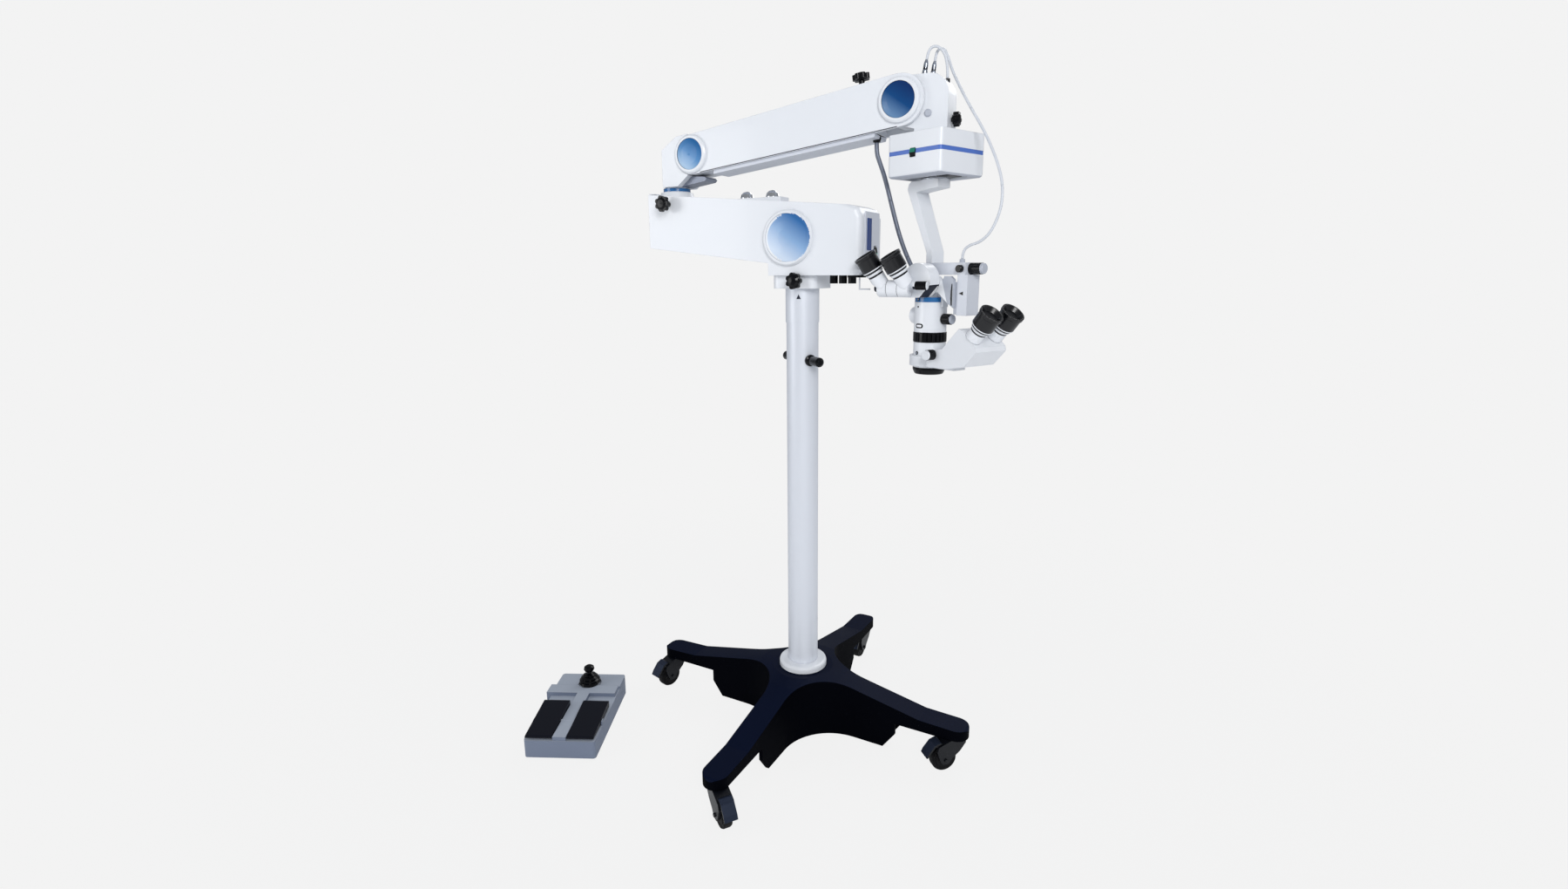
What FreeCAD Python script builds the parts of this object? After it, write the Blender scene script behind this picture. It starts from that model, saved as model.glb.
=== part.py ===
import FreeCAD, Part
import math
import os
import re
import Sketcher
from FreeCAD import Placement, Rotation, Vector

# Surgical microscope on a four-armed rolling stand, with its foot switch.
# Millimetres, +Z up, floor at z = 0, origin under the column's axis.
# The lower arm lies along X, its far end at -X, and -Y is the surgeon's side.

SIZES = {
    # cross-shaped base casting
    "base_reach": 484, "base_tip": 36, "base_crown": 190, "base_tip_top": 128, "base_edge": 30,
    "base_skirt": 15, "base_wall": 10, "base_web": 150, "hub_flat": 92, "skirt_reach": 282,
    # column
    "flange_rad": 72, "flange_high": 22, "column_rad": 45, "column_wall": 4, "sleeve_rad": 47,
    "sleeve_low": 1237, "hub_low": 1330, "hub_wide": 132, "hub_deep": 116, "hub_round": 20,
    "handle_high": 1134, "handle_turn": -36, "handle_rad": 8, "grip_rad": 13, "grip_long": 62,
    # casters
    "wheel_rad": 37.5, "wheel_wide": 24, "tread": 4, "trail": 40, "stem_rad": 8, "stem_long": 26,
    "fork_wide": 44, "fork_slot": 28, "axle_rad": 5, "pedal_pin": 3, "pedal_long": 52,
    # lower arm
    "arm_wide": 150, "arm_left": 466, "arm_right": 203, "arm_left_top": 1596, "arm_right_top": 1541,
    "arm_left_low": 1445, "arm_mid_low": 1392, "arm_box_low": 1365,
    "arm_round": 16, "disc_x": 4, "disc_z": 1463, "disc_rad": 62, "disc_ring": 72, "disc_proud": 14,
    # post and swivel head
    "post_x": 417, "collar_rad": 47, "collar_high": 1604, "ring_rad": 39.5, "ring_high": 13,
    "post_rad": 14, "post_deep": 60,
    # upper arm
    "beam_wide": 96, "beam_left": 432, "tilt_x": 328, "tilt_z": 1701, "level_x": 288, "level_z": 1778,
    "beam_end_rad": 60, "knuckle_rad": 54, "tongue_rad": 44, "beam_bend": 57, "yoke_rad": 57,
    "yoke_right": 405, "yoke_bend": 48, "cap_rad": 42, "cap_ring": 53, "cap_proud": 10,
    # head
    "head_x": 369, "head_turn": -21.2, "box_x": 164, "box_y": 170, "box_low": 1597, "box_top": 1698,
    "box_round": 9, "stripe_high": 10, "stripe_deep": 0.5, "stripe_low": 1649, "slide_reach": 25,
    "plate_half": 45, "slider_half": 20,
    # suspended arm and focus block
    "bar_deep": 47, "bar_thick": 17, "bar_top": 1578, "knee_up": 25, "bar_out": 67,
    "cross_low": 1365, "cross_high": 29, "cross_long": 118, "block_left": 97, "block_wide": 30,
    "block_low": 1268,
    # microscope body
    "body_rad": 41, "body_top": 1298, "ring_top": 1311, "zoom_top": 1222, "zoom_low": 1197,
    "zoom_rad": 42.5, "body_low": 1132, "lens_low": 1115, "lens_rad": 30, "ear_x": 35, "ear_z": 1338,
    # eyepieces
    "eye_gap": 64, "eye_rad": 27, "eye_long": 46, "tube_rad": 20, "eye_lean": 27,
    "cheek_rad": 42, "cheek_z": 1352, "mate_gap": 72, "mate_turn": -28, "mate_lean": 41,
    # foot switch
    "foot_x": -601.9, "foot_y": -358.2, "foot_turn": 26.1, "foot_wide": 209, "foot_long": 350,
    "foot_bed": 60, "foot_deck": 68, "foot_bar": 72, "pedal_x": 61, "pedal_wide": 79,
    # clearances
    "gap": 0.3, "run_fit": 0.05,
}

doc = FreeCAD.newDocument("SurgicalMicroscope")
sheet = doc.addObject("Spreadsheet::Sheet", "Sizes")
for row, (alias, number) in enumerate(SIZES.items(), start=1):
    sheet.set("A%d" % row, alias.replace("_", " "))
    sheet.set("B%d" % row, str(number))
    sheet.setAlias("B%d" % row, alias)
doc.recompute()

FUNCTIONS = ("sin", "cos", "tan", "sqrt", "atan", "min", "max")
parts = {}


def size(alias):
    """The number that the sheet holds for one alias."""
    return float(getattr(sheet, alias))


def plain(text):
    """A number without an exponent, or the text of an expression."""
    return "%.5f" % text if isinstance(text, float) else str(text)


def linked(text):
    """An expression with each alias turned into a reference to the sheet."""
    def refer(match):
        word = match.group(0)
        return word if word in FUNCTIONS else "Sizes." + word
    return re.sub(r"[a-z][a-z_]*", refer, plain(text))


def bind(thing, prop, text):
    thing.setExpression(prop, linked(text))


def place(thing, x=0, y=0, z=0, turn=None):
    """Bind a thing's place to the sheet; turn is (axis, degrees)."""
    if turn:
        thing.Placement = Placement(Vector(), Rotation(Vector(*turn[0]), turn[1]))
    for letter, text in (("x", x), ("y", y), ("z", z)):
        bind(thing, "Placement.Base." + letter, text)
    return thing


def cylinder(rad, high, x=0, y=0, z=0, turn=None):
    thing = doc.addObject("Part::Cylinder", "Cylinder")
    bind(thing, "Radius", rad)
    bind(thing, "Height", high)
    return place(thing, x, y, z, turn)


def cone(low_rad, top_rad, high, x=0, y=0, z=0, turn=None):
    thing = doc.addObject("Part::Cone", "Cone")
    bind(thing, "Radius1", low_rad)
    bind(thing, "Radius2", top_rad)
    bind(thing, "Height", high)
    return place(thing, x, y, z, turn)


def block(long, wide, high, x=0, y=0, z=0):
    """A box centred on x and y, standing on z."""
    thing = doc.addObject("Part::Box", "Block")
    bind(thing, "Length", long)
    bind(thing, "Width", wide)
    bind(thing, "Height", high)
    return place(thing, "(%s)-(%s)/2" % (plain(x), long), "(%s)-(%s)/2" % (plain(y), wide), z)


def fuse(*things):
    joined = doc.addObject("Part::MultiFuse", "Joined")
    joined.Shapes = list(things)
    joined.Refine = True
    return joined


def common(first, second):
    shared = doc.addObject("Part::Common", "Shared")
    shared.Base = first
    shared.Tool = second
    return shared


def cut(base, *tools):
    left = doc.addObject("Part::Cut", "Left")
    left.Base = base
    left.Tool = tools[0] if len(tools) == 1 else fuse(*tools)
    return left


def rounded(base, radius, wanted):
    """Round the edges that wanted(edge) picks."""
    doc.recompute()
    soft = doc.addObject("Part::Fillet", "Rounded")
    soft.Base = base
    picked = [n for n, edge in enumerate(base.Shape.Edges, start=1) if wanted(edge)]
    soft.Edges = [(n, size(radius), size(radius)) for n in picked]
    return soft


def loop(body, plane, points):
    """A closed outline on one of the body's planes; each corner is bound to the sheet."""
    sketch = body.newObject("Sketcher::SketchObject", "Outline")
    role = [p for p in body.Origin.OriginFeatures if p.Role == plane][0]
    sketch.AttachmentSupport = [(role, "")]
    sketch.MapMode = "FlatFace"
    count = len(points)
    for n in range(count):
        sketch.addGeometry(Part.LineSegment(Vector(n, n * n, 0), Vector(n + 1, (n + 1) ** 2, 0)))
    for n in range(count):
        sketch.addConstraint(Sketcher.Constraint("Coincident", n, 2, (n + 1) % count, 1))
    for n, (across, up) in enumerate(points):
        for kind, text in (("DistanceX", across), ("DistanceY", up)):
            index = sketch.addConstraint(Sketcher.Constraint(kind, n, 1, 1.0))
            bind(sketch, "Constraints[%d]" % index, text)
    return sketch


def padded(plane, points, length):
    """An outline padded evenly to both sides of its plane."""
    body = doc.addObject("PartDesign::Body", "Body")
    pad = body.newObject("PartDesign::Pad", "Pad")
    pad.Profile = loop(body, plane, points)
    pad.Midplane = True
    bind(pad, "Length", length)
    return body


def turned(points):
    """A half outline of (radius, height) corners turned about the Z axis."""
    body = doc.addObject("PartDesign::Body", "Body")
    spin = body.newObject("PartDesign::Revolution", "Turned")
    sketch = loop(body, "XZ_Plane", points)
    spin.Profile = sketch
    spin.ReferenceAxis = (sketch, ["V_Axis"])
    spin.Angle = 360
    return body


def keep(label, *solids, where=None):
    """Name a sub-part; where is the placement of its own frame."""
    if len(solids) == 1:
        thing = solids[0]
    else:
        thing = doc.addObject("Part::Compound", "Group")
        thing.Links = list(solids)
    if where is not None:
        holder = doc.addObject("Part::Compound", "Held")
        holder.Links = [thing]
        holder.Placement = where
        thing = holder
    thing.Label = label
    parts[label] = thing
    return thing


def upright(edge):
    """An edge that runs straight up."""
    if len(edge.Vertexes) != 2 or edge.Curve.TypeId != "Part::GeomLine":
        return False
    return abs(edge.tangentAt(edge.FirstParameter).z) > 0.999


def corners(*spots):
    """A test for the edges along Y that pass within 1 mm of any of the (x, z) spots."""
    def wanted(edge):
        if edge.Curve.TypeId != "Part::GeomLine" or abs(edge.tangentAt(edge.FirstParameter).y) < 0.999:
            return False
        middle = edge.CenterOfMass
        return any(math.hypot(middle.x - x, middle.z - z) < 1 for x, z in spots)
    return wanted


X_WAY = ((0, 1, 0), 90)
Y_WAY = ((1, 0, 0), -90)


def star_knob(label, where, rad=22.0, stem=20.0):
    """A seven-lobed clamp knob whose stem starts at its own z = 0."""
    head = turned([(0, stem), (rad * 0.55, stem), (rad * 0.86, stem + 4), (rad * 0.86, stem + 14),
                   (rad * 0.5, stem + 19), (0, stem + 20)])
    lobes = [cylinder(rad * 0.3, 13, rad * 0.72 * math.cos(n * math.tau / 7),
                      rad * 0.72 * math.sin(n * math.tau / 7), stem + 2.5) for n in range(7)]
    neck = cylinder(rad * 0.34, stem + 3)
    keep(label, fuse(head, neck, *lobes), where=where)


def fluted_knob(rad, high, flutes=18):
    """A control knob with shallow flutes round its grip."""
    grip = turned([(0, 0), (rad - 1, 0), (rad, 1), (rad, high - 1.5), (rad - 1.5, high), (0, high)])
    cuts = [cylinder(rad * 0.09, high, rad * 1.03 * math.cos(n * math.tau / flutes),
                     rad * 1.03 * math.sin(n * math.tau / flutes), 2) for n in range(flutes)]
    return cut(grip, *cuts)


def base_casting():
    """An inverted trough in the shape of a cross, crowned at the hub, with deep arched skirts."""
    def plan(shrink):
        arms = []
        for way in (0, 90):
            bar = block("2*base_reach", "2*(base_tip-%s)" % shrink, "base_crown")
            if way:
                bar = block("2*(base_tip-%s)" % shrink, "2*base_reach", "base_crown")
            arms.append(bar)
        for n in range(4):
            across = "base_reach*%d" % round(math.cos(n * math.pi / 2))
            along = "base_reach*%d" % round(math.sin(n * math.pi / 2))
            arms.append(cylinder("base_tip-%s" % shrink, "base_crown", across, along))
        return rounded(fuse(*arms), "base_web", inner_corner)

    def inner_corner(edge):
        if not upright(edge):
            return False
        spot = edge.CenterOfMass
        return abs(abs(spot.x) - abs(spot.y)) < 1 and abs(spot.x) < size("base_tip") + 1

    far = "(base_reach+base_tip)"
    crown = turned([(0, "base_skirt"), ("skirt_reach", "base_skirt"),
                    ("skirt_reach+34", "base_skirt+47"), ("skirt_reach+34", "base_tip_top-base_edge"),
                    (far, "base_tip_top-base_edge"),
                    (far, "base_tip_top-7"), (far + "-3", "base_tip_top-2"), (far + "-9", "base_tip_top"),
                    ("base_reach*0.8", "base_tip_top+4"), ("base_reach*0.45", "base_crown-24"),
                    ("hub_flat*1.5", "base_crown-7"), ("hub_flat", "base_crown"), (0, "base_crown")])
    roof = "(base_tip_top-base_wall)"
    hollow = turned([(0, 0), ("base_reach-60", 0), ("base_reach-60", roof),
                     ("base_reach*0.45", "base_crown-24-base_wall"),
                     ("hub_flat", "base_crown-2*base_wall"), (0, "base_crown-2*base_wall")])
    shell = cut(common(plan("0"), crown), common(plan("base_wall"), hollow))
    sockets = [cylinder("stem_rad+run_fit", "stem_long+1", "base_reach*%d" % a, "base_reach*%d" % b,
                        "base_tip_top-base_edge") for a, b in ((1, 0), (0, 1), (-1, 0), (0, -1))]
    keep("base_casting", cut(shell, *sockets))


def column():
    top = "(base_crown+flange_high)"
    keep("column_flange", cut(turned([
        (0, "base_crown"), ("flange_rad-3", "base_crown"), ("flange_rad", "base_crown+3"),
        ("flange_rad", top + "-7"), ("flange_rad-2", top + "-2"), ("flange_rad-7", top), (0, top)]),
        cylinder("column_rad", "flange_high", 0, 0, "base_crown+4")))
    tube = cylinder("column_rad", "sleeve_low-base_crown-4", 0, 0, "base_crown+4")
    bore = cylinder("column_rad-column_wall", "sleeve_low-base_crown", 0, 0, "base_crown+4")
    aslant = ((0, 0, 1), size("handle_turn"))
    rod_hole = cylinder("handle_rad", "2*column_rad+4", "-column_rad-2", 0, "handle_high", X_WAY)
    keep("column_tube", cut(tube, bore, moved(rod_hole, 0, 0, 0, aslant)))
    sleeve = cylinder("sleeve_rad", "hub_low-gap-sleeve_low", 0, 0, "sleeve_low")
    keep("column_sleeve", fuse(sleeve, cylinder("column_rad-column_wall", 40, 0, 0, "sleeve_low-40"),
                               cylinder(20, 62, 0, 0, "hub_low-30")))
    rod = cylinder("handle_rad", "2*column_rad+40", "-column_rad-20", 0, "handle_high", X_WAY)
    grips = []
    for side in (-1, 1):
        grip = turned([(0, 0), ("grip_rad+3", 0), ("grip_rad+3", 6), ("grip_rad-2", 9),
                       ("grip_rad", 20), ("grip_rad", "grip_long-5"), ("grip_rad-5", "grip_long"),
                       (0, "grip_long")])
        place(grip, "%d*(column_rad+1)" % side, 0, "handle_high", ((0, 1, 0), 90 * side))
        grips.append(grip)
    keep("push_handle", moved(fuse(rod, *grips), 0, 0, 0, aslant))


def caster(name, x, y, heading):
    """A hooded braked caster; its own frame has the stem at the origin and the wheel at +X."""
    here = Placement(Vector(x, y, 0), Rotation(Vector(0, 0, 1), heading))
    hood = padded("XZ_Plane", [
        (-20, "base_tip_top-base_edge-gap-14"), (-20, "base_tip_top-base_edge-gap-3"),
        (-17, "base_tip_top-base_edge-gap"), (20, "base_tip_top-base_edge-gap"),
        ("trail+8", "2*wheel_rad+12"), ("trail+22", "2*wheel_rad+6"), ("trail+27", "2*wheel_rad-8"),
        ("trail+18", "wheel_rad+2"), ("trail+9", "wheel_rad-12"), ("trail-9", "wheel_rad-12"),
        ("trail-20", "wheel_rad+4"), ("trail-42", "wheel_rad+22")], "fork_wide")
    slot = cylinder("wheel_rad+3", "fork_slot", "trail", "fork_slot/2", "wheel_rad", ((1, 0, 0), 90))
    tail = block(60, "fork_slot", 120, "trail+40", 0, 0)
    pivots = cylinder("pedal_pin+run_fit", "fork_wide+2", "trail+16", "fork_wide/2+1",
                      "2*wheel_rad+2", ((1, 0, 0), 90))
    hole = cylinder("axle_rad", "fork_wide+2", "trail", "fork_wide/2+1", "wheel_rad", ((1, 0, 0), 90))
    stem = cylinder("stem_rad", "stem_long", 0, 0, "base_tip_top-base_edge-gap-2")
    fork = fuse(cut(hood, slot, tail, pivots, hole), stem)
    axle = cylinder("axle_rad", "fork_wide+8", "trail", "fork_wide/2+4", "wheel_rad", ((1, 0, 0), 90))
    keep("caster_fork_" + name, fork, axle, where=here)
    half = "wheel_wide/2"
    wheel = turned([("axle_rad+run_fit", "-" + half), ("wheel_rad-12", "-" + half),
                    ("wheel_rad-11", "-%s+2" % half), ("wheel_rad-tread-2", "-%s+2" % half),
                    ("wheel_rad-2", "-" + half), ("wheel_rad", "-%s+4" % half),
                    ("wheel_rad", half + "-4"), ("wheel_rad-2", half),
                    ("wheel_rad-tread-2", half + "-2"), ("wheel_rad-11", half + "-2"),
                    ("wheel_rad-12", half), ("axle_rad+run_fit", half)])
    place(wheel, "trail", 0, "wheel_rad", ((1, 0, 0), 90))
    keep("caster_wheel_" + name, wheel, where=here)
    toe = padded("XZ_Plane", [
        ("trail+11", "2*wheel_rad+15"), ("trail+18", "2*wheel_rad+17"), ("trail+34", "2*wheel_rad+11"),
        ("trail+pedal_long", "wheel_rad+27"), ("trail+pedal_long+6", "wheel_rad+15"),
        ("trail+pedal_long+2", "wheel_rad+14"), ("trail+pedal_long-4", "wheel_rad+23"),
        ("trail+31", "2*wheel_rad+6"), ("trail+11", "2*wheel_rad+13.5")], "fork_wide-8")
    lug = padded("XZ_Plane", [("trail+11", "2*wheel_rad-2"), ("trail+11", "2*wheel_rad+14.5"),
                              ("trail+20", "2*wheel_rad+14"), ("trail+21", "2*wheel_rad-2")],
                 "fork_slot-1")
    rim = cylinder("wheel_rad+1.5", "fork_slot", "trail", "fork_slot/2", "wheel_rad", ((1, 0, 0), 90))
    pin = cylinder("pedal_pin", "fork_wide", "trail+16", "fork_wide/2", "2*wheel_rad+2", ((1, 0, 0), 90))
    keep("caster_pedal_" + name, fuse(cut(fuse(toe, lug), rim), pin), where=here)


SEAT_TOP = "(arm_right_top+(arm_right+66)*(arm_left_top-arm_right_top)/(arm_left+arm_right-34)+11)"


def cap_seat():
    """The raised plate that is let into the housing's top."""
    return block(160, 46, 20, -134, 0, SEAT_TOP + "-20")


def lower_arm():
    """The big wedge-shaped housing on the column, with its rotary hub below."""
    hub = block("hub_wide", "hub_deep", "arm_box_low-hub_low", 0, 0, "hub_low")
    keep("arm_hub", cut(rounded(hub, "hub_round", upright),
                        cylinder("20+run_fit", 70, 0, 0, "hub_low-31")))
    housing = padded("XZ_Plane", [
        ("-arm_left", "arm_left_low"), ("-arm_left", "arm_left_top"), ("arm_right-34", "arm_right_top"),
        ("arm_right-10", "arm_right_top-8"), ("arm_right", "arm_right_top-30"),
        ("arm_right", "arm_box_low+12"), ("arm_right-12", "arm_box_low"),
        ("-hub_wide/2", "arm_box_low"), ("-hub_wide/2", "arm_mid_low+6")], "arm_wide")
    post_hole = cylinder("post_rad+run_fit", "post_deep+10", "-post_x", 0, "collar_high-post_deep-2")
    hub_hole = cylinder("20+run_fit", 34, 0, 0, "arm_box_low-1")
    soft = rounded(housing, "arm_round", lambda e: side_rim(e))
    collar = cone("collar_rad+5", "collar_rad", 20, "-post_x", 0, "collar_high-20")
    seat = cap_seat()
    well = block(14, 18, 34, "arm_right", 20, 1405)
    pivot = cylinder("1.5+run_fit", 23, "arm_right-2", 31.5, 1422, ((1, 0, 0), 90))
    keep("lower_arm_cover", cut(fuse(soft, collar), post_hole, hub_hole, seat, well, pivot))
    ring = turned([("disc_rad+gap", 0), ("disc_ring+2", 0), ("disc_ring", "disc_proud-5"),
                   ("disc_ring-3", "disc_proud-1"), ("disc_ring-6", "disc_proud"),
                   ("disc_rad+gap", "disc_proud")])
    dome = turned([(0, 0), ("disc_rad", 0), ("disc_rad", "disc_proud-2"),
                   ("disc_rad*0.7", "disc_proud+1"), ("disc_rad*0.35", "disc_proud+3"),
                   (0, "disc_proud+3.5")])
    for piece in (ring, dome):
        place(piece, "-disc_x", "-arm_wide/2", "disc_z", ((1, 0, 0), 90))
    keep("lower_disc", ring, dome)


def side_rim(edge):
    """The edges of the housing's right end and its long top edges."""
    if edge.Curve.TypeId != "Part::GeomLine":
        return False
    spot = edge.CenterOfMass
    across = edge.tangentAt(edge.FirstParameter)
    return abs(across.y) < 0.01 and spot.x > size("arm_right") - 36 and abs(across.x) < 0.999


def arm_fittings():
    """What is screwed to the lower housing: panel, switch, sockets, hook, caps and bracket."""
    frame = block(3, 92, 128, "arm_right+1.5", 0, 1396)
    screen = block(2, 26, 80, "arm_right+4", -24, 1428)
    keep("control_panel", cut(frame, block(4, 20, 36, "arm_right+2", 20, 1404)), screen)
    rocker = padded("XZ_Plane", [("arm_right-2", 1414), ("arm_right+4", 1407), ("arm_right+6.5", 1422),
                                 ("arm_right+4", 1437), ("arm_right-2", 1430)], 17)
    bar = cylinder(1.5, 22, "arm_right-2", 31, 1422, ((1, 0, 0), 90))
    keep("power_rocker", fuse(place(rocker, 0, 20, 0), bar))
    sockets = [cylinder(11, 22, 96 + 27 * n, 0, "arm_box_low-22") for n in range(3)]
    hook_hole = cylinder(2, 8, 184, -30, "arm_box_low-7")
    hook = doc.addObject("Part::Feature", "Hook")
    low = size("arm_box_low")
    spots = [Vector(184, -30, low), Vector(184, -30, low - 36), Vector(214, -30, low - 36)]
    path = Part.Wire([Part.LineSegment(spots[0], spots[1]).toShape(),
                      Part.LineSegment(spots[1], spots[2]).toShape()])
    ring = Part.Wire(Part.makeCircle(2, spots[0], Vector(0, 0, -1)))
    hook.Shape = path.makePipeShell([ring], True, False, 1)
    keep("cable_sockets", *sockets, cut(block(46, 16, 6, 176, -30, "arm_box_low-6"), hook_hole), hook)
    plate_top = SEAT_TOP
    caps = []
    for x in (-174, -92):
        cap = turned([(0, 0), (19, 0), (19, 3), (16.5, 12), (10, 18), (0, 20.5)])
        caps.append(place(cap, x, 0, plate_top))
    keep("dome_caps", cap_seat(), *caps)
    bracket = padded("XZ_Plane", [
        ("-arm_left-12", "arm_left_top-70"), ("-arm_left-12", "arm_left_top+5"),
        ("-arm_left+8", "arm_left_top+4"), ("-arm_left+8", "arm_left_top+1.5"),
        ("-arm_left-9.5", "arm_left_top+2.5"), ("-arm_left-9.5", "arm_left_top-60"),
        ("-arm_left", "arm_left_top-60"), ("-arm_left", "arm_left_top-70")], 110)
    keep("side_bracket", cut(bracket, cylinder("collar_rad+5.5", 60, "-post_x", 0, "collar_high-40")))


def swivel_post():
    ring = turned([(0, 0), ("ring_rad-2", 0), ("ring_rad", 2), ("ring_rad", "ring_high-2"),
                   ("ring_rad-2", "ring_high"), (0, "ring_high")])
    place(ring, "-post_x", 0, "collar_high+gap")
    pin = cylinder("post_rad", "post_deep", "-post_x", 0, "collar_high-post_deep+5")
    keep("post_ring", fuse(ring, pin))
    low = "(collar_high+gap+ring_high)"
    shell = padded("XZ_Plane", [
        ("-beam_left", low), ("-beam_left", "tilt_z+18"), ("-beam_left+52", "tilt_z+51"),
        ("-tilt_x-15", "tilt_z+56"), ("-tilt_x-15", "tilt_z-56"), ("-post_x+38", low)], "beam_wide")
    nest = cylinder("knuckle_rad+gap", "beam_wide+2", "-tilt_x", "beam_wide/2+1", "tilt_z", ((1, 0, 0), 90))
    tongue = cylinder("tongue_rad", "beam_wide-24", "-tilt_x", "beam_wide/2-12", "tilt_z", ((1, 0, 0), 90))
    root = padded("XZ_Plane", [("-beam_left+10", low), ("-beam_left+10", "tilt_z+12"),
                               ("-tilt_x", "tilt_z+30"), ("-tilt_x", "tilt_z-30"),
                               ("-post_x+30", low)], "beam_wide-24")
    hole = cylinder("12+run_fit", "beam_wide", "-tilt_x", "beam_wide/2", "tilt_z", ((1, 0, 0), 90))
    link = padded("XZ_Plane", [("-post_x+38.3", low), ("-post_x+60", low + "+4"),
                               ("-tilt_x+30", "tilt_z-72"), ("-tilt_x+36", "tilt_z-66"),
                               ("-tilt_x+30", "tilt_z-60"), ("-tilt_x-14.7", "tilt_z-56.3")], "beam_wide-40")
    keep("swivel_head", cut(fuse(cut(shell, nest), root, tongue), hole), link)


def underside(x):
    """The height of the upper cover's straight underside at x, as an expression."""
    return ("tilt_z-knuckle_rad+(%s+tilt_x-4)*(level_z-beam_end_rad-tilt_z+knuckle_rad)"
            "/(level_x+tilt_x)" % x)


def upper_arm():
    """The parallelogram arm: a long cover, its underside tray and the pivots' blue caps."""
    cover = padded("XZ_Plane", [
        ("-tilt_x", "tilt_z+knuckle_rad"), ("level_x-12", "level_z+beam_end_rad"),
        ("level_x+beam_end_rad", "level_z+beam_end_rad+2"),
        ("level_x+beam_end_rad", "level_z-beam_end_rad+6"), ("level_x+4", "level_z-beam_end_rad"),
        ("-tilt_x+4", "tilt_z-knuckle_rad")], "beam_wide")
    end = size("level_x") + size("beam_end_rad")
    top = size("level_z") + size("beam_end_rad")
    low = size("level_z") - size("beam_end_rad")
    cover = rounded(cover, "beam_bend", corners((end, top + 2), (end, low + 6)))
    knuckle = cylinder("knuckle_rad", "beam_wide", "-tilt_x", "beam_wide/2", "tilt_z", ((1, 0, 0), 90))
    cover = fuse(cover, knuckle)
    root = cylinder("tongue_rad+2", "beam_wide-22", "-tilt_x", "beam_wide/2-11", "tilt_z", ((1, 0, 0), 90))
    throat = padded("XZ_Plane", [("-tilt_x-60", "tilt_z+45"), ("-tilt_x", "tilt_z+45"),
                                 ("-tilt_x", "tilt_z-60"), ("-tilt_x-60", "tilt_z-60")], "beam_wide-22")
    fork = padded("XZ_Plane", [
        ("level_x-62", "level_z+80"), ("level_x+80", "level_z+80"), ("level_x+80", "level_z-80"),
        ("level_x-62", "level_z-80")], "beam_wide-22")
    pins = [cylinder("12", "beam_wide-4", "-tilt_x", "beam_wide/2-2", "tilt_z", ((1, 0, 0), 90)),
            cylinder("12", "beam_wide-4", "level_x", "beam_wide/2-2", "level_z", ((1, 0, 0), 90))]
    keep("upper_arm_cover", fuse(cut(cover, root, throat, fork), *pins))
    tray = padded("XZ_Plane", [
        ("-tilt_x+70", underside("(-tilt_x+70)")), ("level_x-64", underside("(level_x-64)")),
        ("level_x-66", underside("(level_x-64)") + "-10"),
        ("-tilt_x+68", underside("(-tilt_x+70)") + "-10")], "beam_wide-16")
    grommet = turned([(0, 0), (9, 0), (11, 8), (11, 13.5), (0, 13.5)])
    keep("arm_underside", fuse(tray, place(grommet, "level_x-75", 0, "level_z-84")))
    discs = []
    for x, z in (("-tilt_x", "tilt_z"), ("level_x", "level_z")):
        for side in (-1, 1):
            ring = turned([("cap_rad+gap", 0), ("cap_ring", 0), ("cap_ring-1", "cap_proud-3"),
                           ("cap_ring-5", "cap_proud"), ("cap_rad+gap", "cap_proud")])
            dome = turned([(0, 0), ("cap_rad", 0), ("cap_rad", "cap_proud-1.5"),
                           ("cap_rad*0.65", "cap_proud+1"), (0, "cap_proud+2.5")])
            for piece in (ring, dome):
                place(piece, x, "%d*beam_wide/2" % side, z, ((1, 0, 0), -90 * side))
                discs.append(piece)
    keep("pivot_caps", *discs)


def head():
    """The yoke at the arm's end, and the housing of the X-Y slides that swivels under it."""
    knuckle = cylinder("yoke_rad", "beam_wide-26", "level_x", "beam_wide/2-13", "level_z", ((1, 0, 0), 90))
    right = size("yoke_right")
    neck = rounded(padded("XZ_Plane", [
        ("level_x", "level_z+yoke_rad"), ("yoke_right", "level_z+yoke_rad-3"),
        ("yoke_right", "box_top+gap"), ("head_x-46", "box_top+gap"), ("head_x-46", "box_top+14"),
        ("level_x", "level_z-yoke_rad")], "beam_wide-26"), "yoke_bend",
        corners((right, size("level_z") + size("yoke_rad") - 3)))
    lock = turned([(0, 0), (9, 0), (9, 2), (6.5, 4), (0, 4)])
    place(lock, "head_x-12", "-beam_wide/2+13", "level_z-34", ((1, 0, 0), 90))
    yoke = fuse(knuckle, neck, lock)
    hole = cylinder("12+run_fit", "beam_wide", "level_x", "beam_wide/2", "level_z", ((1, 0, 0), 90))
    socket = cylinder("18+run_fit", 34, "head_x", 0, "box_top-1")
    gland = cylinder(6.5, 44, 389, 6, 1780)
    pair = []
    for n in (0, 1):
        one = doc.addObject("Part::Compound", "Plug")
        one.Links = [turned([(0, 0), (6.5, 0), (6.5, 14), (5.5, 16), (5.5, 30), (3.4, 38), (0, 38)])]
        one.Placement = Placement(Vector(size("level_x") + 48 + 14 * n, -10 + 20 * n,
                                         size("level_z") + size("yoke_rad") - 4 - n),
                                  Rotation(Vector(0, 1, 0), 8))
        pair.append(one)
    keep("head_yoke", cut(fuse(yoke, gland), hole, socket, *pair))
    keep("cable_plugs", *pair)


def head_frame():
    """The swivelled frame of everything under the yoke."""
    return Placement(Vector(size("head_x"), 0, 0), Rotation(Vector(0, 0, 1), size("head_turn")))


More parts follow.
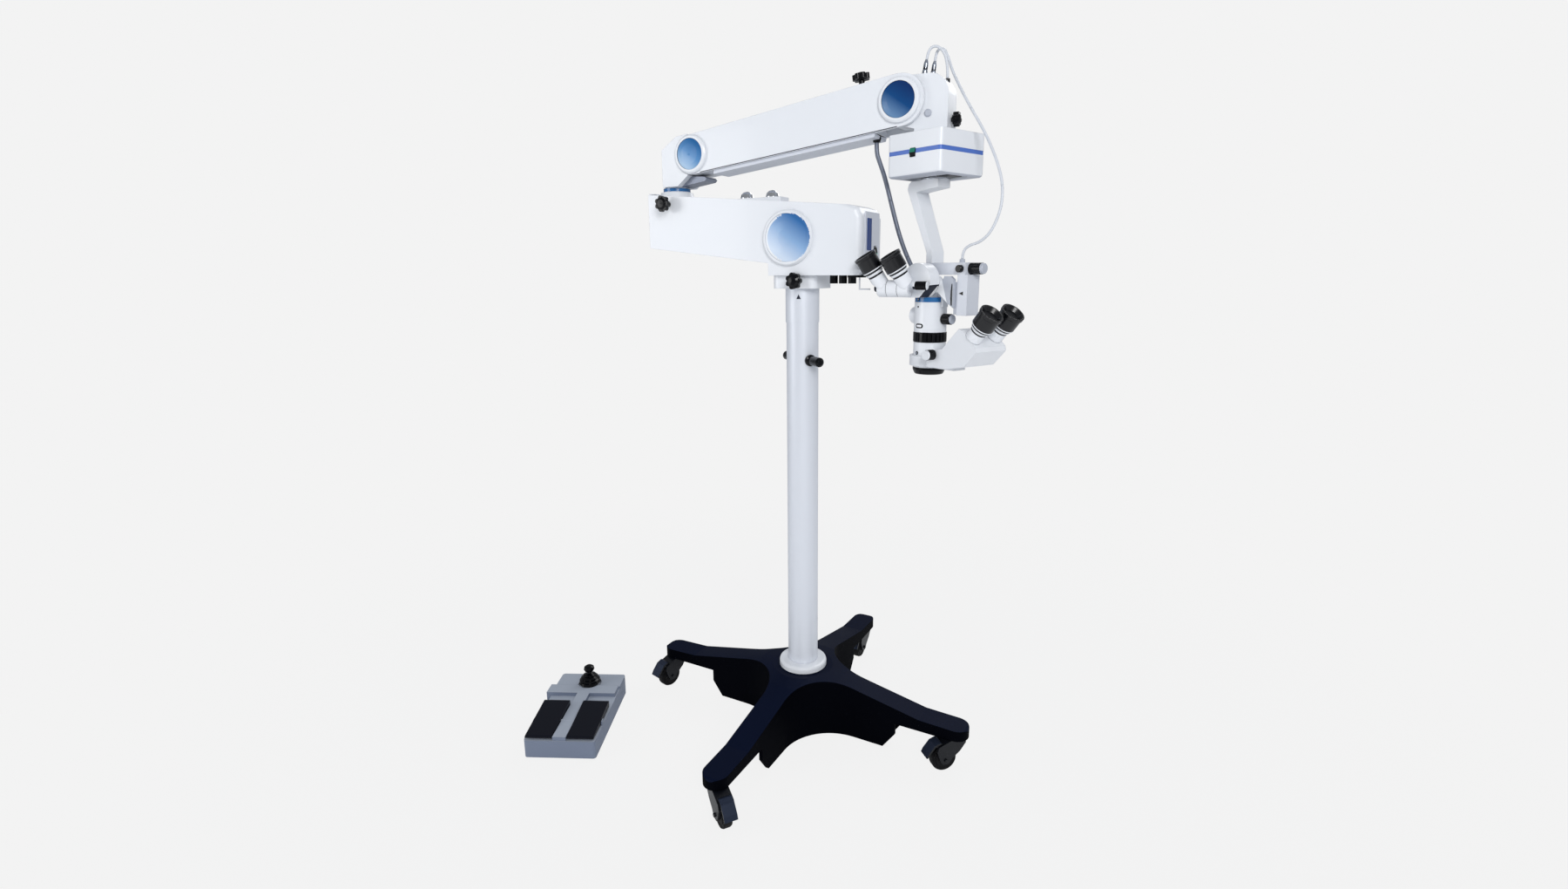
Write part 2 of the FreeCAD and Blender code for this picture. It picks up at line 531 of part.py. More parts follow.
def slide_unit():
    here = head_frame()
    shell = rounded(block("box_x", "box_y", "box_top-box_low", 0, 0, "box_low"), "box_round",
                    lambda e: upright(e) or e.CenterOfMass.z < size("box_low") + 1)
    spigot = cylinder("18", 32, 0, 0, "box_top-1")
    core = rounded(block("box_x-2*stripe_deep", "box_y-2*stripe_deep", "stripe_high+2", 0, 0, "stripe_low-1"),
                   "box_round", upright)
    stripe = cut(block("box_x+2", "box_y+2", "stripe_high", 0, 0, "stripe_low"), core)
    pocket = block("2*plate_half+2*slide_reach+1", "2*plate_half+0.6", 12, 0, 0, "box_low")
    seat = block(17, 10, 21, -2, "-box_y/2", "stripe_low-8.5")
    pivot = cylinder("1.5+run_fit", 21, -12.5, "-box_y/2+2.5", "stripe_low+2", X_WAY)
    keep("xy_housing", cut(fuse(shell, spigot), stripe, pocket, seat, pivot), where=here)
    rocker = padded("YZ_Plane", [("-box_y/2+4", "stripe_low-2"), ("-box_y/2-0.5", "stripe_low-8"),
                                 ("-box_y/2-3", "stripe_low+2"), ("-box_y/2-0.5", "stripe_low+12"),
                                 ("-box_y/2+4", "stripe_low+6")], 16)
    bar = cylinder(1.5, 20, -12, "-box_y/2+2.5", "stripe_low+2", X_WAY)
    keep("xy_rocker", fuse(place(rocker, -2), bar), where=here)
    plate = block("2*plate_half", "2*plate_half", 8, 0, 0, "box_low+3.7")
    channel = block("2*slider_half+0.6", "2*plate_half+2", 4.3, 0, 0, "box_low+3.7")
    keep("x_carriage", cut(plate, channel), where=here)


def suspension():
    """The cranked arm under the slides, the crossbar and the block of the focus drive."""
    here = head_frame()
    knee = "(cross_low+cross_high+knee_up)"
    bar = padded("XZ_Plane", [
        (28, "bar_top-4"), (28, "box_low-3-gap"), ("-bar_out+12", "box_low-3-gap"),
        ("-bar_out+3", "bar_top+9"), ("-bar_out", "bar_top-4"), ("-bar_thick/2+8", knee),
        ("-bar_thick/2+8", "cross_low+cross_high"), ("bar_thick/2+8", "cross_low+cross_high"),
        ("bar_thick/2+8", knee + "+2"), ("-bar_out+29", "bar_top-12"), ("-bar_out+38", "bar_top-10")],
        "bar_deep")
    slider = block("2*slider_half", "2*(plate_half-slide_reach)", "7.6+3", 0, 0, "box_low-3")
    collar = cylinder(34, "3", 0, 0, "box_low-3-gap")
    keep("suspended_arm", bar, fuse(collar, slider), where=here)
    cross = block("cross_long+14", "bar_deep", "cross_high", "cross_long/2-7", 0, "cross_low")
    drive = block("block_wide", "bar_deep", "cross_low-block_low", "block_left+block_wide/2", 0,
                  "block_low")
    dial_hole = cylinder("6+run_fit", 30, "cross_long-20", 0, "cross_low+cross_high/2", X_WAY)
    entry = cylinder(6.5, 8, 97.6, -8, "cross_low+cross_high")
    keep("focus_block", cut(fuse(cross, drive, entry), dial_hole),
         focus_lock(), where=here)
    dial = fluted_knob(14, 34)
    cap = turned([(0, 33), (12.5, 33), (12.5, 38), (11, 39.5), (0, 39.5)])
    shaft = cylinder(6, 21, 0, 0, -19.5)
    whole = fuse(dial, cap, shaft)
    placed = doc.addObject("Part::Compound", "Dial")
    placed.Links = [whole]
    placed.Placement = Placement(Vector(size("cross_long") + 0.3, 0, size("cross_low") + 14.5),
                                 Rotation(Vector(0, 1, 0), 90))
    keep("focus_knob", placed, where=here)

def focus_lock():
    """The small screw that clamps the focus drive."""
    return moved(fluted_knob(9, 12, 12), 106, -size("bar_deep") / 2, size("cross_low") + 14.5,
                 ((1, 0, 0), 90))


def focus_carriage():
    """The plate that rides up and down on the block and carries the tilt pivot."""
    here = head_frame()
    front = "(-bar_deep/2-gap)"
    plate = padded("XZ_Plane", [
        ("block_left-4", "ear_z-52"), ("block_left-4", "ear_z+16"), ("block_left-14", "ear_z+24"),
        ("ear_x+30", "ear_z+24"), ("ear_x+24", "ear_z+12"), ("ear_x+12", "ear_z+24"),
        ("ear_x-6", "ear_z+22"), ("ear_x-15", "ear_z+10"), ("ear_x-16", "ear_z-6"),
        ("ear_x-8", "ear_z-15"), ("ear_x+12", "ear_z-16"), ("ear_x+40", "ear_z-40")], 9)
    place(plate, 0, front + "-4.5")
    slide = block(8, "bar_deep", 78, "block_left-4.3", 0, "ear_z-68")
    hole = cylinder("6+run_fit", 30, "ear_x", -15, "ear_z", ((1, 0, 0), 90))
    keep("focus_carriage", cut(fuse(plate, slide), hole), where=here)


def scope():
    """The optical body that tilts on the carriage, with its rings, knob and lens."""
    here = head_frame()
    rad = "body_rad"
    body = turned([
        (0, "body_low"), (rad + "-1", "body_low"), (rad, "body_low+1"), (rad, "zoom_low-gap"),
        (rad + "-4", "zoom_low-gap"), (rad + "-4", "zoom_top+gap"), (rad, "zoom_top+gap"),
        (rad, "body_top"), (rad + "-stripe_deep", "body_top"), (rad + "-stripe_deep", "ring_top-1"),
        (0, "ring_top-1")])
    boss = cylinder(21, 30, "-%s-12" % rad, 0, 1262, X_WAY)
    socket = cylinder(10, 22, -44, 26, 1248)
    web = block(20, 30, 16, -36, 14, 1250)
    arm = padded("XZ_Plane", [("ear_x-10", "ring_top-8"), ("ear_x-10", "ear_z+2"), ("ear_x-4", "ear_z+8"),
                              ("ear_x+6", "ear_z+8"), ("ear_x+11", "ear_z"), ("ear_x+11", 1286),
                              ("ear_x-4", 1286)], 20)
    pin = cylinder(6, 25, "ear_x", -9, "ear_z", ((1, 0, 0), 90))
    bush = cylinder("5+run_fit", 20, "body_rad-19", 0, 1256, X_WAY)
    keep("scope_body", cut(fuse(body, boss, socket, web, arm, pin), bush), where=here)
    zoom = turned([(rad + "-4+run_fit", "zoom_low"), ("zoom_rad-1", "zoom_low"),
                   ("zoom_rad", "zoom_low+1"), ("zoom_rad", "zoom_top-1"), ("zoom_rad-1", "zoom_top"),
                   (rad + "-4+run_fit", "zoom_top")])
    flutes = [block(3, 3.4, "zoom_top-zoom_low-6", "zoom_rad*%.4f" % math.cos(n * math.tau / 24),
                    "zoom_rad*%.4f" % math.sin(n * math.tau / 24), "zoom_low+3") for n in range(24)]
    keep("zoom_ring", cut(zoom, *flutes), where=here)
    lens_ring = turned([
        ("lens_rad", "lens_low"), (rad + "-5", "lens_low"), (rad + "-3", "lens_low+3"),
        (rad + "+0.5", "body_low-6"), (rad + "+0.5", "body_low"), ("lens_rad", "body_low")])
    lens = turned([(0, "lens_low+6"), ("lens_rad*0.6", "lens_low+4.5"), ("lens_rad-0.05", "lens_low+4"),
                   ("lens_rad-0.05", "lens_low+10"), (0, "lens_low+10")])
    keep("objective", lens_ring, lens, where=here)
    knob = fuse(fluted_knob(13.5, 26), turned([(0, 25), (11.5, 25), (11.5, 29), (10, 30), (0, 30)]),
                cylinder(5, 20, 0, 0, -18))
    side = doc.addObject("Part::Compound", "SideKnob")
    side.Links = [knob]
    side.Placement = Placement(Vector(size("body_rad") + 0.3, 0, 1256), Rotation(Vector(0, 1, 0), 90))
    keep("scope_knob", side, where=here)


def moved(thing, x, y, z, *turns):
    """Hold a solid at a place after turning it about one axis after another."""
    holder = doc.addObject("Part::Compound", "Held")
    holder.Links = [thing]
    turn = Rotation()
    for axis, degrees in turns:
        turn = Rotation(Vector(*axis), degrees).multiply(turn)
    holder.Placement = Placement(Vector(x, y, z), turn)
    return holder


def eyepiece(extra=0):
    """One eyepiece and its tube along +Z: sleeve, diopter ring, cup and an open eye mouth."""
    tube = turned([(0, 0), ("tube_rad", 0), ("tube_rad", 26 + extra), ("tube_rad+2.5", 29 + extra),
                   ("tube_rad+2.5", 34 + extra), (0, 34 + extra)])
    foot = 34.0 + extra
    rad = "eye_rad"
    cup = turned([(0, foot), (rad + "-3", foot), (rad + "-3", foot + 3), (rad, foot + 5),
                  (rad, "eye_long+%s" % (foot - 9)), (rad + "+2", "eye_long+%s" % (foot - 7)),
                  (rad + "+2", "eye_long+%s" % foot), (rad + "-2", "eye_long+%s" % foot),
                  (rad + "-9", "eye_long+%s" % (foot - 9)), (0, "eye_long+%s" % (foot - 10))])
    return tube, cup


def binocular():
    """The surgeon's binocular: prism head on the body, cross barrel and two leaning eyepieces."""
    here = head_frame()
    straight = -size("head_turn")
    disc = cylinder("cheek_rad", 36, 10, -34, "cheek_z", ((1, 0, 0), 90))
    foot = rounded(block(54, 78, "1338-ring_top", -11, -31, "ring_top-1"), "box_round", upright)
    slant = padded("XZ_Plane", [("70", "cheek_z-34"), ("70", "cheek_z-70"), ("4", "cheek_z-70"),
                                ("19", "cheek_z-42"), ("48", "cheek_z-12")], 90)
    place(slant, 0, -80)
    lug = fuse(cylinder(9, 5, -14.3, -97, 1340, ((0, 1, 0), 90)), block(5, 33, 12, -11.8, -80.5, 1334))
    bore = cylinder("3+run_fit", 7, -15, -97, 1340, ((0, 1, 0), 90))
    head = cut(fuse(disc, foot), slant)
    keep("binocular_head", fuse(head, moved(cut(lug, bore), 0, 0, 0, ((0, 0, 1), straight))), where=here)
    barrel = turned([(0, -112), (19, -112), (21, -110), (21, -88.5), (20, -88), (20, -87), (21, -86.5),
                     (21, -60), (20, -59.5), (20, -58.5), (21, -58), (21, -30), (0, -30)])
    rolled = moved(barrel, 0, 0, 0, ((0, 1, 0), 90))
    lifted = moved(rolled, 76 * math.sin(math.radians(straight)), -76 * math.cos(math.radians(straight)),
                   1332, ((0, 0, 1), straight))
    stop = moved(moved(fluted_knob(8, 11, 12), -112, 0, 0, ((0, 1, 0), -90)),
                 76 * math.sin(math.radians(straight)), -76 * math.cos(math.radians(straight)),
                 1332, ((0, 0, 1), straight))
    keep("binocular_barrel", cut(lifted, head), stop, where=here)
    turned_back = Placement(Vector(size("head_x"), 0, 0), Rotation())
    knob = moved(fluted_knob(10.5, 30, 12), -9, -97, 1340, ((0, 1, 0), 90))
    spindle = cylinder(3, 6, -14.3, -97, 1340, ((0, 1, 0), 90))
    keep("binocular_knob", fuse(knob, spindle), where=turned_back)
    pieces = []
    hollow = cylinder(21.3, 200, -150, -76, 1332, X_WAY)
    for n in (0, 1):
        tube, cup = [moved(solid, -99 + size("eye_gap") * n, -76, 1332, ((1, 0, 0), 18),
                           ((0, 1, 0), -size("eye_lean"))) for solid in eyepiece(16)]
        pieces += [cut(tube, hollow, moved(head, 0, 0, 0, ((0, 0, 1), -straight))), cup]
    keep("eyepieces", *pieces, where=turned_back)


def assistant():
    """The assistant's microscope: prism housing on a clamp round the body and two eyepieces."""
    here = Placement(Vector(size("head_x"), 0, 0), Rotation(Vector(0, 0, 1), size("mate_turn")))
    clamp = cut(cylinder(50, 26, 0, 0, "zoom_low-60"), cylinder("body_rad+gap", 30, 0, 0, "zoom_low-62"))
    prism = padded("XZ_Plane", [(44, 1140), (44, 1180), (96, 1188), (148, 1240), (158, 1237),
                                (202, 1199), (205, 1188), (168, 1150), (110, 1140)], "mate_gap+32")
    foot = block(70, 40, 9, 72, 0, 1133)
    around = cylinder("body_rad+gap", 200, 0, 0, 1100)
    keep("assistant_head", fuse(clamp, cut(fuse(prism, foot), around)), where=here)
    knob = moved(fuse(fluted_knob(13, 22), turned([(0, 21), (12, 21), (12, 27), (0, 27)])), 66,
                 -size("mate_gap") / 2 - 16.3, 1172, ((1, 0, 0), 90))
    keep("assistant_knob", knob, where=here)
    pieces = []
    for n in (0, 1):
        for solid in eyepiece():
            pieces.append(moved(solid, 181, size("mate_gap") * (n - 0.5), 1219,
                                ((0, 1, 0), size("mate_lean"))))
    keep("assistant_eyepieces", *pieces, where=here)


def foot_switch():
    """The free-standing foot switch with two rocker pedals and a joystick."""
    here = Placement(Vector(size("foot_x"), size("foot_y"), 0), Rotation(Vector(0, 0, 1), size("foot_turn")))
    body = rounded(block("foot_wide", "foot_long", "foot_bed-6", 0, 1, 6), "box_round", upright)
    deck = rounded(block("foot_wide", 76, "foot_deck-foot_bed+8", 0, 138, "foot_bed-8"), "box_round", upright)
    bridge = block("foot_wide+10", 46, "foot_bar-foot_bed+24", -9, 80, "foot_bed-24")
    rib = block("2*(pedal_x-pedal_wide/2)-4", 236, "foot_bar-foot_bed+4", 0, -54, "foot_bed-4")
    lugs = [block(2.6, 16, 18, x, -88, "foot_bed-4") for x in (-102.6, 102.6)]
    rod = cylinder(3, 206, -103, -88, 70, X_WAY)
    well = cylinder(36, 30, 2, 121, "foot_deck-6")
    feet = [cylinder(9, 6, x, y, 0) for x in (-76, 76) for y in (-155, 155)]
    keep("foot_housing", cut(fuse(body, deck, bridge, rib, rod, *lugs), well), *feet, where=here)
    for side, name in ((-1, "left"), (1, "right")):
        tread = padded("YZ_Plane", [(-171, 66.5), (-88, 63), (-6, 66.5), (-4, 84), (-10, 86), (-165, 72),
                                    (-171, 70)], "pedal_wide")
        bore = cylinder("3+run_fit", 90, 61 * side - 45, -88, 70, X_WAY)
        keep("foot_pedal_" + name, cut(place(tread, "%d*pedal_x" % side), bore), where=here)
    stick = turned([(0, 62.8), (3, 62.8), (31, 71), (34, 75), (30, 79), (32, 84), (25, 88), (27, 92),
                    (19, 96), (20, 100), (12, 104), (8, 107), (8, 111), (14, 114), (17, 120), (15, 127),
                    (9, 131), (0, 132)])
    keep("joystick", place(stick, 2, 121), where=here)


def route(points, dia, label):
    """A cord's tube: straight runs joined by tangent arcs; prints its radii and checks its volume."""
    spots = [Vector(*p) for p in points]
    edges = []
    start = spots[0]
    radii = []
    for n in range(1, len(spots) - 1):
        back = spots[n - 1] - spots[n]
        ahead = spots[n + 1] - spots[n]
        turn = math.pi - back.getAngle(ahead)
        reach = 0.45 * min(back.Length, ahead.Length)
        radii.append(reach / math.tan(turn / 2))
        one = spots[n] + back.normalize() * reach
        two = spots[n] + ahead.normalize() * reach
        bow = (back + ahead).normalize()
        deep = radii[-1] / math.cos(turn / 2) - radii[-1]
        edges.append(Part.LineSegment(start, one).toShape())
        edges.append(Part.Arc(one, spots[n] + bow * deep, two).toShape())
        start = two
    edges.append(Part.LineSegment(start, spots[-1]).toShape())
    path = Part.Wire(edges)
    ring = Part.Wire(Part.makeCircle(dia / 2, spots[0], spots[1] - spots[0]))
    tube = path.makePipeShell([ring], True, True)
    ideal = math.pi * dia * dia / 4 * path.Length
    print(label, "length %.0f" % path.Length, "radii", ["%.0f" % r for r in radii],
          "volume ratio %.4f" % (tube.Volume / ideal))
    cord = doc.addObject("Part::Feature", "Cord")
    cord.Shape = tube
    return cord


def cords():
    """The light guide from the arm to the body, and the two leads from the yoke."""
    keep("light_guide", route([
        (213, 0, 1694), (213, 0, 1670), (221, 0.5, 1648), (235, 2, 1612), (248, 3, 1567), (263, 8, 1508),
        (280, 12, 1451),
        (300, 22, 1398), (325, 35, 1348), (337.4, 40.1, 1308), (337.4, 40.1, 1270.2)],
        12.4, "light_guide"))
    keep("head_leads",
         route([(341.3, -10, 1868.8), (343.4, -10, 1883.5), (352, -8.5, 1897), (368, -5, 1897),
                (383, -1, 1880), (387.5, 4, 1857), (389, 6, 1840), (389, 6, 1824)], 6.5, "lead_short"),
         route([(355.3, 10, 1867.8), (357.4, 10, 1882.4), (361, 11, 1892), (369, 13, 1896.5),
                (378, 15, 1892), (387, 15.5, 1873), (399, 13, 1840), (443, -9, 1766),
                (490.7, -22, 1694), (523.4, -36, 1632), (545, -48, 1575.6), (548.4, -58, 1516.9),
                (527.3, -58, 1463.1), (500, -53, 1440), (472, -46, 1434), (457.1, -42.7, 1420),
                (457.1, -42.7, 1402)], 6.5, "lead_long"))


base_casting()
column()
for tip, (ax, ay, heading) in {"left": (-1, 0, -105), "front": (0, -1, -35), "right": (1, 0, -135),
                               "back": (0, 1, -90)}.items():
    caster(tip, ax * size("base_reach"), ay * size("base_reach"), heading)
lower_arm()
arm_fittings()
star_knob("column_clamp_knob", Placement(Vector(19, -size("hub_deep") / 2 - 0.3, 1351),
                                         Rotation(Vector(1, 0, 0), 90)))
star_knob("post_clamp_knob", Placement(Vector(-393, -size("arm_wide") / 2 - 0.3, 1566),
                                       Rotation(Vector(1, 0, 0), 90)))
swivel_post()
upper_arm()
beam_slope = (size("level_z") + size("beam_end_rad") - size("tilt_z") - size("knuckle_rad")) / (
    size("level_x") + size("tilt_x") - 12)
lock_x = 172
lock_z = size("tilt_z") + size("knuckle_rad") + beam_slope * (lock_x + size("tilt_x"))
star_knob("arm_lock_knob", Placement(Vector(lock_x, 0, lock_z + 0.4),
                                     Rotation(Vector(0, 1, 0), -math.degrees(math.atan(beam_slope)))))
head()
star_knob("yoke_knob", Placement(Vector(size("yoke_right") + 0.3, 0, 1730), Rotation(Vector(0, 1, 0), 90)),
          17.0, 3.0)
slide_unit()
suspension()
focus_carriage()
scope()
binocular()
assistant()
foot_switch()
cords()

doc.recompute()
for thing in doc.Objects:
    if "Invalid" in thing.State or "Error" in thing.State:
        raise RuntimeError("%s (%s) did not build: %s" % (thing.Name, thing.Label, thing.State))
for label, thing in parts.items():
    if thing.Shape.isNull() or not thing.Shape.isValid():
        raise RuntimeError(label + " has no valid shape")

os.makedirs("parts", exist_ok=True)
for label, thing in parts.items():
    thing.Shape.exportStep("parts/%s.step" % label)
    print(label, "solids", len(thing.Shape.Solids), "volume %.0f" % thing.Shape.Volume)
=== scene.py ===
import math

import bpy
from mathutils import Matrix, Vector


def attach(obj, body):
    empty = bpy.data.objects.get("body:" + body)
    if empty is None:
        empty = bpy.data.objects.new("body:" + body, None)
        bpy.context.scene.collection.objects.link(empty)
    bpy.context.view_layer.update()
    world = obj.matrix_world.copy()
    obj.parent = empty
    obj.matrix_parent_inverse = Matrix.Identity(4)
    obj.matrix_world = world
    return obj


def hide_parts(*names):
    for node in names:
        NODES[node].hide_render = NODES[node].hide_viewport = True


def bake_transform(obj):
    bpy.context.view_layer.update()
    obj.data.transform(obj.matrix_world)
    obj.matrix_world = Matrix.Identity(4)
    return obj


# Dress for the surgical microscope. Metres, +Z up, floor at z = 0.
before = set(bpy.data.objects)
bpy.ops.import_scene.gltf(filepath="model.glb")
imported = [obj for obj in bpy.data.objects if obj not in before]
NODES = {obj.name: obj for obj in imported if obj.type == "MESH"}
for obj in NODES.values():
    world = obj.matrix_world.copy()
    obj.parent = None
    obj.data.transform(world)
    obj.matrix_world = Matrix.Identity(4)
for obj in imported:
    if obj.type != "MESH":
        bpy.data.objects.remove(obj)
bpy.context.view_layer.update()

HEAD_X = 0.369
HEAD_TURN = math.radians(-21.2)
MATE_TURN = math.radians(-28)


# ---------------------------------------------------------------- camera
# The lens and its place in metres and degrees. CENTRE_UP is how far the image's centre lies off the axis.
IMAGE_WIDE = 1800
FOCAL_PIXELS = 850.1
SENSOR = 36.0
SPOT = (0.961, -1.860, 1.377)
HEADING, PITCH, ROLL = 28.8, -12.12, -0.41
CENTRE_UP = 16.5

lens = bpy.data.cameras.new("Camera")
lens.sensor_width = SENSOR
lens.lens = FOCAL_PIXELS / IMAGE_WIDE * SENSOR
lens.shift_y = -CENTRE_UP / IMAGE_WIDE
camera = bpy.data.objects.new("Camera", lens)
bpy.context.scene.collection.objects.link(camera)
camera.matrix_world = (Matrix.Translation(SPOT)
                       @ Matrix.Rotation(math.radians(HEADING), 4, "Z")
                       @ Matrix.Rotation(math.radians(90 + PITCH), 4, "X")
                       @ Matrix.Rotation(math.radians(ROLL), 4, "Z"))
bpy.context.scene.camera = camera


# ---------------------------------------------------------------- materials
def linear(*rgb):
    """A colour as read from a screen, 0 to 255, in linear light."""
    return tuple((c / 255 / 12.92) if c / 255 <= 0.04045 else ((c / 255 + 0.055) / 1.055) ** 2.4
                 for c in rgb) + (1.0,)


def node(tree, kind, **values):
    """A new shader node; each value goes to the input of that name, or else to the property."""
    made = tree.nodes.new(kind)
    for name, value in values.items():
        if name in made.inputs:
            made.inputs[name].default_value = value
        else:
            setattr(made, name, value)
    return made


GLOSS_SPREAD = 0.12
CLOUD_SCALE = 6.0
COAT_ROUGH = 0.08
RELIEF_DEPTH = 0.0004


def paint(name, color, rough=0.4, metal=0.0, coat=0.0, soft_edge=0.0, grain=0.0, grain_size=400.0,
          shine=0.5):
    """Principled paint with slightly uneven gloss, softened edges and an optional fine grain."""
    made = bpy.data.materials.new(name)
    made.use_nodes = True
    tree = made.node_tree
    shader = tree.nodes["Principled BSDF"]
    shader.inputs["Base Color"].default_value = color
    shader.inputs["Metallic"].default_value = metal
    shader.inputs["Specular IOR Level"].default_value = shine
    shader.inputs["Coat Weight"].default_value = coat
    shader.inputs["Coat Roughness"].default_value = COAT_ROUGH
    place = node(tree, "ShaderNodeTexCoord")
    cloud = node(tree, "ShaderNodeTexNoise", Scale=CLOUD_SCALE, Detail=3.0)
    spread = node(tree, "ShaderNodeMapRange")
    spread.inputs["To Min"].default_value = rough * (1 - GLOSS_SPREAD)
    spread.inputs["To Max"].default_value = rough * (1 + GLOSS_SPREAD)
    tree.links.new(place.outputs["Object"], cloud.inputs["Vector"])
    tree.links.new(cloud.outputs["Fac"], spread.inputs["Value"])
    tree.links.new(spread.outputs["Result"], shader.inputs["Roughness"])
    normal = None
    if soft_edge:
        normal = node(tree, "ShaderNodeBevel", samples=4, Radius=soft_edge)
    if grain:
        fine = node(tree, "ShaderNodeTexNoise", Scale=grain_size, Detail=2.0)
        relief = node(tree, "ShaderNodeBump", Strength=grain, Distance=RELIEF_DEPTH)
        tree.links.new(place.outputs["Object"], fine.inputs["Vector"])
        tree.links.new(fine.outputs["Fac"], relief.inputs["Height"])
        if normal:
            tree.links.new(normal.outputs["Normal"], relief.inputs["Normal"])
        normal = relief
    if normal:
        tree.links.new(normal.outputs["Normal"], shader.inputs["Normal"])
    return made


WHITE = paint("white_paint", linear(226, 229, 234), 0.32, coat=0.25, soft_edge=0.0018)
# A duller white; on the upper arm's underside it stands for painted shade.
COOL_WHITE = paint("cool_white", linear(206, 210, 219), 0.35, coat=0.15, soft_edge=0.0015)
PALE_GREY = paint("pale_grey", linear(176, 181, 192), 0.42, soft_edge=0.001)
SILVER = paint("silver_column", linear(218, 222, 230), 0.4, metal=0.2)
IRON = paint("navy_iron", linear(5, 14, 37), 0.5, soft_edge=0.003, grain=0.12, grain_size=700, shine=0.06)
# The base's side faces are painted near-black as shade, darker than its top.
IRON_SIDE_SHADE = paint("navy_iron_side_painted_shade", linear(2, 3, 8), 0.6, soft_edge=0.003, shine=0.02)
BLACK = paint("black_plastic", linear(3, 4, 8), 0.18, soft_edge=0.0008, shine=0.24)
BLACK_METAL = paint("black_metal", linear(12, 14, 20), 0.3, soft_edge=0.0005, shine=0.3)
RUBBER = paint("rubber", linear(8, 8, 11), 0.6, grain=0.2, shine=0.2)
# The tops of the caster brake pedals are painted a lighter steel grey as a sheen: a painted highlight.
BRAKE_TOP_SHEEN = paint("brake_top_painted_sheen", linear(42, 50, 68), 0.32, metal=0.5, soft_edge=0.0008, shine=0.3)
LINK_GREY = paint("link_grey", linear(128, 134, 148), 0.35, metal=0.5, soft_edge=0.0008)
CHROME = paint("chrome", linear(225, 227, 230), 0.12, metal=1.0)
CONNECTOR = paint("connector_metal", linear(180, 187, 200), 0.22, metal=0.9)
CONDUIT = paint("grey_conduit", linear(104, 110, 124), 0.38, metal=0.35)
CABLE = paint("white_cable", linear(206, 210, 217), 0.4)
# The foot switch's side faces are painted darker than its top as shade.
FOOT_SIDE_SHADE = paint("foot_side_painted_shade", linear(112, 122, 142), 0.5, soft_edge=0.002, grain=0.15)
FOOT_GREY = paint("foot_grey", linear(158, 166, 179), 0.5, soft_edge=0.002, grain=0.15)
PEDAL_BLACK = paint("pedal_rubber", linear(6, 9, 22), 0.45, soft_edge=0.001, shine=0.2)
# Dark grey: the column's mark and the upper arm's seam lines, faces inside the binocular barrel round its
# axis, and painted shade on the slant cut under the binocular plate and on the side walls round the two
# small discs.
DARK_MARK_AND_SHADE = paint("dark_mark_and_painted_shade", linear(38, 42, 54), 0.6, shine=0.2)
RING_BLUE = paint("ring_blue", linear(24, 98, 158), 0.25, coat=0.4)
STRIPE_BLUE = paint("stripe_blue", linear(74, 110, 190), 0.3)
SCREEN_BLUE = paint("screen_blue", linear(16, 56, 122), 0.2, coat=0.3)
GREEN = paint("green_lamp", linear(20, 120, 96), 0.2, coat=0.5)
PILL_WHITE = paint("pill_white", linear(232, 234, 238), 0.3)


# Slope of the painted reflection across a blue disc, and where along it the colour is fully pale and fully
# deep.
DISC_RIGHT, DISC_UP = 0.29, 0.41
DISC_PALE_TO, DISC_DEEP_FROM = 0.08, 0.92


def disc_blue_painted_reflection(name, x, z, radius, pale, middle, deep):
    """Blue lacquer with a painted reflection: it pales from the upper right of a disc towards its lower
    left.
    """
    made = paint(name, middle, 0.24, coat=0.15, shine=0.3)
    tree = made.node_tree
    place = node(tree, "ShaderNodeTexCoord")
    split = node(tree, "ShaderNodeSeparateXYZ")
    across = node(tree, "ShaderNodeMath", operation="MULTIPLY_ADD")
    across.inputs[1].default_value = DISC_RIGHT / radius
    across.inputs[2].default_value = 0.5 - DISC_RIGHT * x / radius - DISC_UP * z / radius
    upward = node(tree, "ShaderNodeMath", operation="MULTIPLY_ADD")
    upward.inputs[1].default_value = DISC_UP / radius
    ramp = node(tree, "ShaderNodeValToRGB")
    ramp.color_ramp.elements[0].position = DISC_PALE_TO
    ramp.color_ramp.elements[0].color = pale
    ramp.color_ramp.elements[1].position = DISC_DEEP_FROM
    ramp.color_ramp.elements[1].color = deep
    ramp.color_ramp.elements.new(0.5).color = middle
    tree.links.new(place.outputs["Object"], split.inputs["Vector"])
    tree.links.new(split.outputs["X"], across.inputs[0])
    tree.links.new(across.outputs["Value"], upward.inputs[2])
    tree.links.new(split.outputs["Z"], upward.inputs[0])
    tree.links.new(upward.outputs["Value"], ramp.inputs["Fac"])
    tree.links.new(ramp.outputs["Color"], tree.nodes["Principled BSDF"].inputs["Base Color"])
    return made


def lens_glass():
    made = bpy.data.materials.new("lens_glass")
    made.use_nodes = True
    shader = made.node_tree.nodes["Principled BSDF"]
    shader.inputs["Base Color"].default_value = linear(36, 44, 80)
    shader.inputs["Roughness"].default_value = 0.03
    shader.inputs["Coat Weight"].default_value = 1.0
    shader.inputs["Metallic"].default_value = 0.2
    return made


LENS = lens_glass()


def dress(name, base, *rules):
    """Give a CAD node its materials: each rule is a material and a test on a face's centre and normal."""
    mesh = NODES[name].data
    mesh.materials.clear()
    mesh.materials.append(base)
    for material, _ in rules:
        mesh.materials.append(material)
    for face in mesh.polygons:
        face.material_index = 0
        for index, (_, wanted) in enumerate(rules, start=1):
            if wanted(face.center, face.normal):
                face.material_index = index


def local(point, turn, spot=Vector((HEAD_X, 0, 0))):
    """A point of the row's frame in a frame that is turned about a vertical line."""
    return Matrix.Rotation(-turn, 3, "Z") @ (Vector(point) - spot)


CAST_NAMES = ("left", "front", "right", "back")

